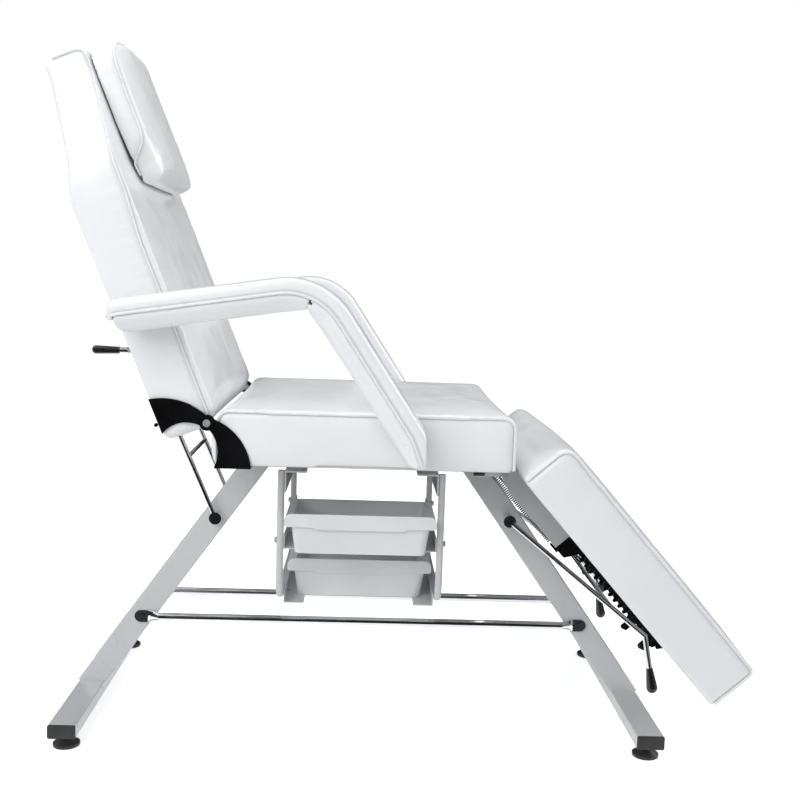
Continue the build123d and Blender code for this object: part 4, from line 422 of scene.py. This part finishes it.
def bare_skin(name, solids, voxel, easing):
    """A vinyl skin on a piece's solids, in even faces, eased and laid back on their sides."""
    merged = bmesh.new()
    for node in solids:
        merged.from_mesh(nodes[node].data)
    bmesh.ops.remove_doubles(merged, verts=merged.verts, dist=1e-5)
    true_mesh, mesh = bpy.data.meshes.new(name + "_solid"), bpy.data.meshes.new(name)
    merged.to_mesh(true_mesh)
    merged.to_mesh(mesh)
    merged.free()
    true_shape = bpy.data.objects.new(name + "_solid", true_mesh)
    piece = bpy.data.objects.new(name, mesh)
    for made in (true_shape, piece):
        scene.collection.objects.link(made)
    even = piece.modifiers.new("even", "REMESH")
    even.mode, even.voxel_size, even.use_smooth_shade = "VOXEL", voxel, True
    ease = piece.modifiers.new("ease", "SMOOTH")
    ease.factor, ease.iterations = .5, easing
    lay = piece.modifiers.new("lay", "SHRINKWRAP")
    lay.target, lay.wrap_method = true_shape, "NEAREST_SURFACEPOINT"
    settled(piece)
    bpy.data.objects.remove(true_shape)
    piece.data.materials.clear()
    piece.data.materials.append(white_vinyl)
    return piece


def blown(piece, seams, height):
    """Blows a skin up from inside as cloth, held at its seams and on its board, and makes it finer."""
    nearest = search_tree([point for seam in seams for point in seam])
    count = len(piece.data.vertices)
    before = np.empty(count * 3)
    piece.data.vertices.foreach_get("co", before)
    before = before.reshape(-1, 3)
    fixed = [vertex.index for vertex in piece.data.vertices
             if height(vertex.co) < HELD / 2 or nearest.find(vertex.co)[2] < HELD]
    group = piece.vertex_groups.new(name="held")
    group.add(fixed, 1, "REPLACE")
    cloth = piece.modifiers.new("cloth", "CLOTH")
    cloth.settings.use_pressure = True
    cloth.settings.uniform_pressure_force = PRESSURE
    cloth.settings.effector_weights.gravity = 0
    cloth.settings.vertex_group_mass = "held"
    cloth.point_cache.frame_start, cloth.point_cache.frame_end = 1, CLOTH_FRAMES
    for number in range(1, CLOTH_FRAMES + 1):
        scene.frame_set(number)
    swollen = np.empty(count * 3)
    worked = piece.evaluated_get(bpy.context.evaluated_depsgraph_get())
    worked.data.vertices.foreach_get("co", swollen)
    moved = swollen.reshape(-1, 3) - before
    far = np.linalg.norm(moved, axis=1, keepdims=True)
    after = before + moved * np.minimum(1, SWELL / np.maximum(far, 1e-9))
    piece.modifiers.clear()
    piece.vertex_groups.clear()
    piece.data.vertices.foreach_set("co", after.ravel())
    piece.data.update()
    scene.frame_set(1)
    finer = piece.modifiers.new("finer", "SUBSURF")
    finer.levels = finer.render_levels = 1
    return settled(piece)


def shy_of_board(piece, board, inward):
    """Lifts a skin off the board's bare side, so that the board shows within the vinyl's edge."""
    solid = surface(nodes[board].data)
    for vertex in piece.data.vertices:
        if solid.find_nearest(vertex.co, BOARD_NEAR)[0] is not None:
            vertex.co += inward * BOARD_SHY
    piece.data.update()


def rounded(corners, step=SEAM_STEP):
    """Points along straight runs joined by arcs, from (x, z, radius) corners in metres."""
    points = [Vector(corners[0][:2])]
    for before, corner, after in zip(corners, corners[1:], corners[2:]):
        here = Vector(corner[:2])
        back, on = (Vector(before[:2]) - here).normalized(), (Vector(after[:2]) - here).normalized()
        half = back.angle(on) / 2
        run = corner[2] / tan(half) if corner[2] else 0
        if not run:
            points.append(here)
            continue
        centre = here + (back + on).normalized() * (corner[2] / sin(half))
        start, end = here + back * run - centre, here + on * run - centre
        count = max(4, int(corner[2] * (pi - 2 * half) / step))
        for number in range(count + 1):
            share = number / count
            points.append(centre + start.lerp(end, share).normalized() * corner[2])
    points.append(Vector(corners[-1][:2]))
    path = [points[0]]
    for point in points[1:]:
        base = path[-1]
        count = max(1, round((point - base).length / step))
        path += [base.lerp(point, number / count) for number in range(1, count + 1)]
    return path


def on_skin(piece, path, lift=SEAM_LIFT):
    """A path laid on a piece's surface and eased, a little off it."""
    skin = surface(piece.data)
    laid = []
    for point in path:
        place, normal, index, distance = skin.find_nearest(point)
        laid.append(place + normal * lift)
    for easing in range(SEAM_PASSES):
        inner = [(a + b * 2 + c) / 4 for a, b, c in zip(laid, laid[1:], laid[2:])]
        laid = [laid[0]] + inner + [laid[-1]]
    return laid


def sewn(piece, seams, pull=.0022, reach=.008, pucker=.0007, spread=.03):
    """Draws a skin in along its seams, with small puckers across them, and paints a grey shade along them
    into the vinyl's colour.
    """
    nearest = search_tree([point for seam in seams for point in seam])
    piece.data.update()
    normals = [vertex.normal.copy() for vertex in piece.data.vertices]
    painted_shades = []
    for vertex, normal in zip(piece.data.vertices, normals):
        point, index, distance = nearest.find(vertex.co)
        # Painted shade: a grey line along each seam, stored on the skin for the vinyl's colour.
        painted_shades.append(PAINTED_SEAM_SHADE * exp(-(distance / PAINTED_SEAM_SHADE_REACH) ** 2))
        if distance < 4 * spread:
            ripple = noise.noise(point * PUCKER_SCALE)
            ripple += FINE_PUCKER_SHARE * noise.noise(point * FINE_PUCKER_SCALE)
            fade = exp(-distance / spread) * (1 - exp(-(distance / PUCKER_START) ** 2))
            vertex.co -= normal * (pull * exp(-(distance / reach) ** 2) + pucker * ripple * fade)
    painted_shade_layer = piece.data.attributes.new("seam_painted_shade", "FLOAT", "POINT")
    painted_shade_layer.data.foreach_set("value", painted_shades)
    piece.data.update()


def path_tree(name, build, **sizes):
    """A node tree that turns a line into solid pieces, with named sizes and a material."""
    tree = bpy.data.node_groups.new(name, "GeometryNodeTree")
    tree.interface.new_socket(name="Line", in_out="INPUT", socket_type="NodeSocketGeometry")
    for size in sizes:
        tree.interface.new_socket(name=size, in_out="INPUT", socket_type="NodeSocketFloat")
    tree.interface.new_socket(name="Material", in_out="INPUT", socket_type="NodeSocketMaterial")
    tree.interface.new_socket(name="Made", in_out="OUTPUT", socket_type="NodeSocketGeometry")
    given, made = tree.nodes.new("NodeGroupInput"), tree.nodes.new("NodeGroupOutput")
    line = tree.nodes.new("GeometryNodeMeshToCurve")
    tree.links.new(given.outputs["Line"], line.inputs["Mesh"])
    solid = build(tree, given, line.outputs["Curve"])
    real = tree.nodes.new("GeometryNodeRealizeInstances")
    smooth = tree.nodes.new("GeometryNodeSetShadeSmooth")
    covered = tree.nodes.new("GeometryNodeSetMaterial")
    tree.links.new(solid, real.inputs[0])
    tree.links.new(real.outputs[0], smooth.inputs["Geometry"])
    tree.links.new(smooth.outputs[0], covered.inputs["Geometry"])
    tree.links.new(given.outputs["Material"], covered.inputs["Material"])
    tree.links.new(covered.outputs[0], made.inputs["Made"])
    tree["sizes"] = sizes
    return tree


def piping_nodes(tree, given, line):
    """A round cord swept along the line, closed at its ends."""
    ring = tree.nodes.new("GeometryNodeCurvePrimitiveCircle")
    ring.inputs["Resolution"].default_value = 10
    cord = tree.nodes.new("GeometryNodeCurveToMesh")
    cord.inputs["Fill Caps"].default_value = True
    tree.links.new(given.outputs["Radius"], ring.inputs["Radius"])
    tree.links.new(line, cord.inputs["Curve"])
    tree.links.new(ring.outputs["Curve"], cord.inputs["Profile Curve"])
    return cord.outputs["Mesh"]


def along_paths(name, paths, tree, material):
    """A piece made by a node tree along one or more lines."""
    mesh = bpy.data.meshes.new(name)
    points, edges = [], []
    for path in paths:
        edges += [(len(points) + number, len(points) + number + 1) for number in range(len(path) - 1)]
        points += [tuple(point) for point in path]
    mesh.from_pydata(points, edges, [])
    piece = bpy.data.objects.new(name, mesh)
    scene.collection.objects.link(piece)
    work = piece.modifiers.new("work", "NODES")
    work.node_group = tree
    sizes = tree["sizes"].to_dict()
    for socket in tree.interface.items_tree:
        if socket.name in sizes:
            work[socket.identifier] = sizes[socket.name]
        if socket.name == "Material":
            work[socket.identifier] = material
    return settled(piece)


white_vinyl = finish("white_vinyl", .34, coat=.25, coat_roughness=.25)
shade = tinted(white_vinyl, grain(white_vinyl, 5, 4), (.83, .835, .845), (.885, .89, .90))
vinyl_tree = white_vinyl.node_tree
# Painted shade: the vinyl's colour turns grey along the seams, standing in for the shade beside the piping.
seam_painted_shade = vinyl_tree.nodes.new("ShaderNodeAttribute")
seam_painted_shade.attribute_name = "seam_painted_shade"
painted_seam_shade_mix = vinyl_tree.nodes.new("ShaderNodeMix")
painted_seam_shade_mix.data_type = "RGBA"
painted_seam_shade_mix.inputs["B"].default_value = (.60, .605, .62, 1)
vinyl_tree.links.new(seam_painted_shade.outputs["Fac"], painted_seam_shade_mix.inputs["Factor"])
vinyl_tree.links.new(shade, painted_seam_shade_mix.inputs["A"])
vinyl_shader = vinyl_tree.nodes["Principled BSDF"]
vinyl_tree.links.new(painted_seam_shade_mix.outputs["Result"], vinyl_shader.inputs["Base Color"])
polished(white_vinyl, grain(white_vinyl, 22, 4), .28, .42)
leather = vinyl_tree.nodes.new("ShaderNodeTexVoronoi")
leather.inputs["Scale"].default_value = 520
leather_place = vinyl_tree.nodes.new("ShaderNodeTexCoord")
vinyl_tree.links.new(leather_place.outputs["Object"], leather.inputs["Vector"])
embossed(white_vinyl, leather.outputs["Distance"], .0002, .22)
embossed(white_vinyl, grain(white_vinyl, 16, 3, twist=1.2), .0035, .16)
piped_vinyl = finish("piping_vinyl", .3, coat=.3, coat_roughness=.2)
tinted(piped_vinyl, grain(piped_vinyl, 30, 3), (.80, .805, .815), (.87, .875, .885))
polished(piped_vinyl, grain(piped_vinyl, 60, 3), .24, .38)
embossed(piped_vinyl, grain(piped_vinyl, 260, 2), .0003, .2)
piping_tree = path_tree("piping", piping_nodes, Radius=PIPING)

seat_low, seat_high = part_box("seat_cushion")
seat_hem = seat_low.z + SEAT_HEM
seat = bare_skin("seat_skin", ("seat_cushion", "seat_board"), VOXEL, EASING)
seat_outline = rounded([(seat_low.x, seat_hem, 0), (seat_low.x, SEAT_TOP, SEAT_CORNER),
                        (seat_high.x, SEAT_TOP, SEAT_CORNER), (seat_high.x, seat_hem, 0)])
for vertex in seat.data.vertices:
    behind_plate = 1 - (vertex.co.x - seat_low.x) / REAR_BULGE_RUN
    if behind_plate > 0 and seat_low.z + .002 < vertex.co.z < REAR_BULGE_TOP:
        rise = (vertex.co.z - seat_low.z) / (REAR_BULGE_TOP - seat_low.z)
        vertex.co.x -= REAR_BULGE * behind_plate * sin(pi * rise ** .8)
seat.data.update()
seat_lines = [[Vector((x, side * HALF_WIDTH, z)) for x, z in seat_outline] for side in (-1, 1)]
blown(seat, [on_skin(seat, line) for line in seat_lines], lambda place: place.z - seat_low.z)
shy_of_board(seat, "seat_board", Vector((0, 0, 1)))
seat_seams = [on_skin(seat, line) for line in seat_lines]
sewn(seat, seat_seams)
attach(seat, "frame")
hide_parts("seat_cushion")
seat_piping = along_paths("seat_piping", seat_seams, piping_tree, piped_vinyl)
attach(seat_piping, "frame")


# Back cushion
# The same build on the back's board: wide over the lower part, then drawn in to the head. The front
# panel rolls over to the piping, which runs up both edges and across the top corners.
BACK_PLAN = ((-.006, .300, 0), (.475, .300, .060), (.655, .172, .040), (.700, .172, 0))
BACK_SIDE = ((-.004, .002, 0), (.020, .006, .020), (.330, .006, .3), (.420, .014, .3),
             (.700, .016, .024), (.700, -.045, 0))
BACK_REAR = ((.430, .487), (-.080, -.062))
PILLOW_FOOT = .432
FINE_PIPING = .0017


def on_back(up, out, side):
    """A place on the back: up from its hinge, out from its board, and sideways."""
    return Vector((back_hinge.x - up * sin(BACK_LEAN) + out * cos(BACK_LEAN), side,
                   back_hinge.z + up * cos(BACK_LEAN) + out * sin(BACK_LEAN)))


def back_half(up):
    """Half the back's width at a height up it."""
    plan = rounded(BACK_PLAN)
    return float(np.interp(up, [point[0] for point in plan], [point[1] for point in plan]))


def behind(place):
    """How far a point of the back stands off the board's rear side."""
    up, out = back_place(place)
    return out - float(np.interp(up, *BACK_REAR))


def held_flat(place):
    """The same, and nothing under the pillow, which presses on the head."""
    up, out = back_place(place)
    return 0 if up > PILLOW_FOOT and out > 0 else behind(place)


back = bare_skin("back_skin", ("back_cushion", "back_board"), VOXEL, EASING)
back_lines = [[on_back(up, out, side * back_half(up)) for up, out in rounded(BACK_SIDE)]
              for side in (-1, 1)]
blown(back, [on_skin(back, line) for line in back_lines], held_flat)
shy_of_board(back, "back_board", out_of_back)
back_seams = [on_skin(back, line) for line in back_lines]
sewn(back, back_seams, pull=.003, reach=.006)
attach(back, "back")
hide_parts("back_cushion")
fine_tree = path_tree("fine_piping", piping_nodes, Radius=FINE_PIPING)
back_piping = along_paths("back_piping", back_seams, fine_tree, piped_vinyl)
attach(back_piping, "back")


# Head pillow
# A soft block held on the head by tape. Its front panel wraps round the lower end, so the seam to
# each side panel turns in before the bottom and leaves a round lobe below it.
PILLOW_HALF, PILLOW_VOXEL, PILLOW_REST = .175, .005, .0985
PILLOW_SEAM = ((.447, .018, 0), (.465, .019, .01), (.483, .035, .02), (.501, .052, .02),
               (.521, .057, .03), (.589, .057, .2), (.640, .059, .1), (.678, .066, 0))
PILLOW_CREST, CREST_STEPS, CREST_ENDS = (.703, .069), 20, 16
LOBE_LEAN, LOBE_MOST, LOBE_START = .8, .017, .06
pillow_path = rounded(PILLOW_SEAM)
seam_up, seam_out = [point[0] for point in pillow_path], [point[1] for point in pillow_path]
pillow = bare_skin("pillow_skin", ("head_pillow",), PILLOW_VOXEL, EASING)
for vertex in pillow.data.vertices:
    up, out = back_place(vertex.co)
    beyond = out - float(np.interp(up, seam_up, seam_out))
    if beyond > 0:
        near_side = min(1, max(0, (abs(vertex.co.y) - LOBE_START) / (PILLOW_HALF - LOBE_START)))
        drawn = LOBE_MOST * (1 - exp(-beyond * LOBE_LEAN / LOBE_MOST)) * near_side ** 2
        vertex.co.y -= drawn if vertex.co.y > 0 else -drawn
pillow.data.update()
pillow_line = [on_back(up, out, -PILLOW_HALF) for up, out in pillow_path]
pillow_line += [on_back(*PILLOW_CREST, PILLOW_HALF * step / CREST_STEPS)
                for step in range(-CREST_ENDS, CREST_ENDS + 1)]
pillow_line += [on_back(up, out, PILLOW_HALF) for up, out in reversed(pillow_path)]
blown(pillow, [on_skin(pillow, pillow_line)], lambda place: behind(place) - PILLOW_REST)
pillow_seams = [on_skin(pillow, pillow_line)]
sewn(pillow, pillow_seams, pull=.003, reach=.007, pucker=.0006)
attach(pillow, "back")
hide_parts("head_pillow")
pillow_piping = along_paths("pillow_piping", pillow_seams, fine_tree, piped_vinyl)
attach(pillow_piping, "back")


# Legrest cushion
# A long cushion on its own board, with piped side panels like the seat's. Its hinge end is cut
# round so that it clears the seat when it lifts.
LEGREST_DROP = radians(48.4)
LEGREST_BOARD = .014
LEGREST_SIDE = ((.012, .018, 0), (.012, .114, .028), (.558, .114, .014), (.558, .020, 0))
legrest_hinge = middle("legrest_hinge_pins")


def on_legrest(along, out, side):
    """A place on the legrest: along it from its hinge, out from its board, and sideways."""
    return Vector((legrest_hinge.x + along * cos(LEGREST_DROP) + out * sin(LEGREST_DROP), side,
                   legrest_hinge.z - along * sin(LEGREST_DROP) + out * cos(LEGREST_DROP)))


legrest = bare_skin("legrest_skin", ("legrest_cushion", "legrest_board"), VOXEL, EASING)
legrest_out = Vector((sin(LEGREST_DROP), 0, cos(LEGREST_DROP)))
legrest_lines = [[on_legrest(along, out, side * HALF_WIDTH) for along, out in rounded(LEGREST_SIDE)]
                 for side in (-1, 1)]
blown(legrest, [on_skin(legrest, line) for line in legrest_lines],
      lambda place: (place - legrest_hinge).dot(legrest_out) - LEGREST_BOARD)
shy_of_board(legrest, "legrest_board", legrest_out)
legrest_seams = [on_skin(legrest, line) for line in legrest_lines]
sewn(legrest, legrest_seams)
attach(legrest, "legrest")
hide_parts("legrest_cushion")
legrest_piping = along_paths("legrest_piping", legrest_seams, piping_tree, piped_vinyl)
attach(legrest_piping, "legrest")


# Armrests
# A steel bar bent to the shape, with a padded cover wrapped over it and two pads below it that meet
# in a mitre at the bend. A piped seam runs round the cover's lower edge, with stitches above it.
ARM_INNER, ARM_OUTER = .305, .405
COVER_VOXEL, PAD_VOXEL, ARM_EASING = .003, .0025, 6
PAD_DEPTH, PAD_DRAW, PAD_ROUND = .032, .46, 1.6
MITRE, MITRE_STEPS = ((-.0890, .8390), (-.1042, .8042)), 12
NOSE_AHEAD, NOSE_BELOW, NOSE_STEPS = .006, .004, 30
STITCH_UP, STITCH_LIFT = .0055, .0003
THREAD_SIDES = 6
ARM_SEAM = ((-.41672, .78592, 0), (-.089, .839, .100), (.07523, .59274, .060), (.09123, .548, 0))


def stitch_nodes(tree, given, line):
    """A short thread at every pitch of the line, lying along it."""
    dots = tree.nodes.new("GeometryNodeCurveToPoints")
    dots.mode = "LENGTH"
    thread = tree.nodes.new("GeometryNodeMeshCylinder")
    thread.inputs["Vertices"].default_value = THREAD_SIDES
    thread.inputs["Side Segments"].default_value = 1
    along = tree.nodes.new("FunctionNodeAlignRotationToVector")
    along.axis = "Z"
    put = tree.nodes.new("GeometryNodeInstanceOnPoints")
    tree.links.new(line, dots.inputs["Curve"])
    tree.links.new(given.outputs["Pitch"], dots.inputs["Length"])
    tree.links.new(given.outputs["Thread"], thread.inputs["Radius"])
    tree.links.new(given.outputs["Length"], thread.inputs["Depth"])
    tree.links.new(dots.outputs["Tangent"], along.inputs["Vector"])
    tree.links.new(dots.outputs["Points"], put.inputs["Points"])
    tree.links.new(thread.outputs["Mesh"], put.inputs["Instance"])
    tree.links.new(along.outputs[0], put.inputs["Rotation"])
    return put.outputs[0]


stitch_tree = path_tree("stitches", stitch_nodes, Pitch=.0045, Thread=.00045, Length=.003)
for hand, side in (("right", -1), ("left", 1)):
    cover = bare_skin("armrest_skin_" + hand, ("armrest_cover_" + hand,), COVER_VOXEL, ARM_EASING)
    pads = bare_skin("armrest_padding_" + hand, ("armrest_pads_" + hand,), PAD_VOXEL, ARM_EASING)
    seam = rounded([(x + base_x, z, radius) for x, z, radius in ARM_SEAM])
    seam_side = search_tree([(x, 0, z) for x, z in seam])
    middle_line = side * (ARM_INNER + ARM_OUTER) / 2
    for vertex in pads.data.vertices:
        away = seam_side.find((vertex.co.x, 0, vertex.co.z))[2]
        kept = 1 - PAD_DRAW * min(1, away / PAD_DEPTH) ** PAD_ROUND
        vertex.co.y = middle_line + (vertex.co.y - middle_line) * kept
    pads.data.update()
    nose_x, nose_z = seam[0][0] - NOSE_AHEAD, seam[0][1] - NOSE_BELOW
    outer = [Vector((x, side * ARM_OUTER, z)) for x, z in reversed(seam)]
    inner = [Vector((x, side * ARM_INNER, z)) for x, z in seam]
    round_nose = [Vector((nose_x, side * (ARM_OUTER + (ARM_INNER - ARM_OUTER) * step / NOSE_STEPS), nose_z))
                  for step in range(1, NOSE_STEPS)]
    ring = on_skin(cover, outer + round_nose + inner)
    mitres = []
    for y in (side * ARM_INNER, side * ARM_OUTER):
        start, end = [Vector((x + base_x, y, z)) for x, z in MITRE]
        mitres.append([start.lerp(end, step / MITRE_STEPS) for step in range(MITRE_STEPS + 1)])
    for piece, node, seams, pull in ((cover, "armrest_cover_" + hand, [ring], .0015),
                                     (pads, "armrest_pads_" + hand, [ring] + mitres, .0028)):
        sewn(piece, seams, pull=pull, reach=.005, pucker=.0007, spread=.02)
        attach(piece, "frame")
        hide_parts(node)
    raised = []
    for before, here, after in zip(seam, seam[1:], seam[2:]):
        run = (after - before).normalized()
        raised.append(here + Vector((-run.y, run.x)) * STITCH_UP)
    rows = [on_skin(cover, [Vector((x, side * y, z)) for x, z in raised], STITCH_LIFT)
            for y in (ARM_INNER, ARM_OUTER)]
    for name, paths, tree in (("armrest_piping_", [ring], piping_tree),
                              ("armrest_stitches_", rows, stitch_tree)):
        trim = along_paths(name + hand, paths, tree, piped_vinyl)
        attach(trim, "frame")
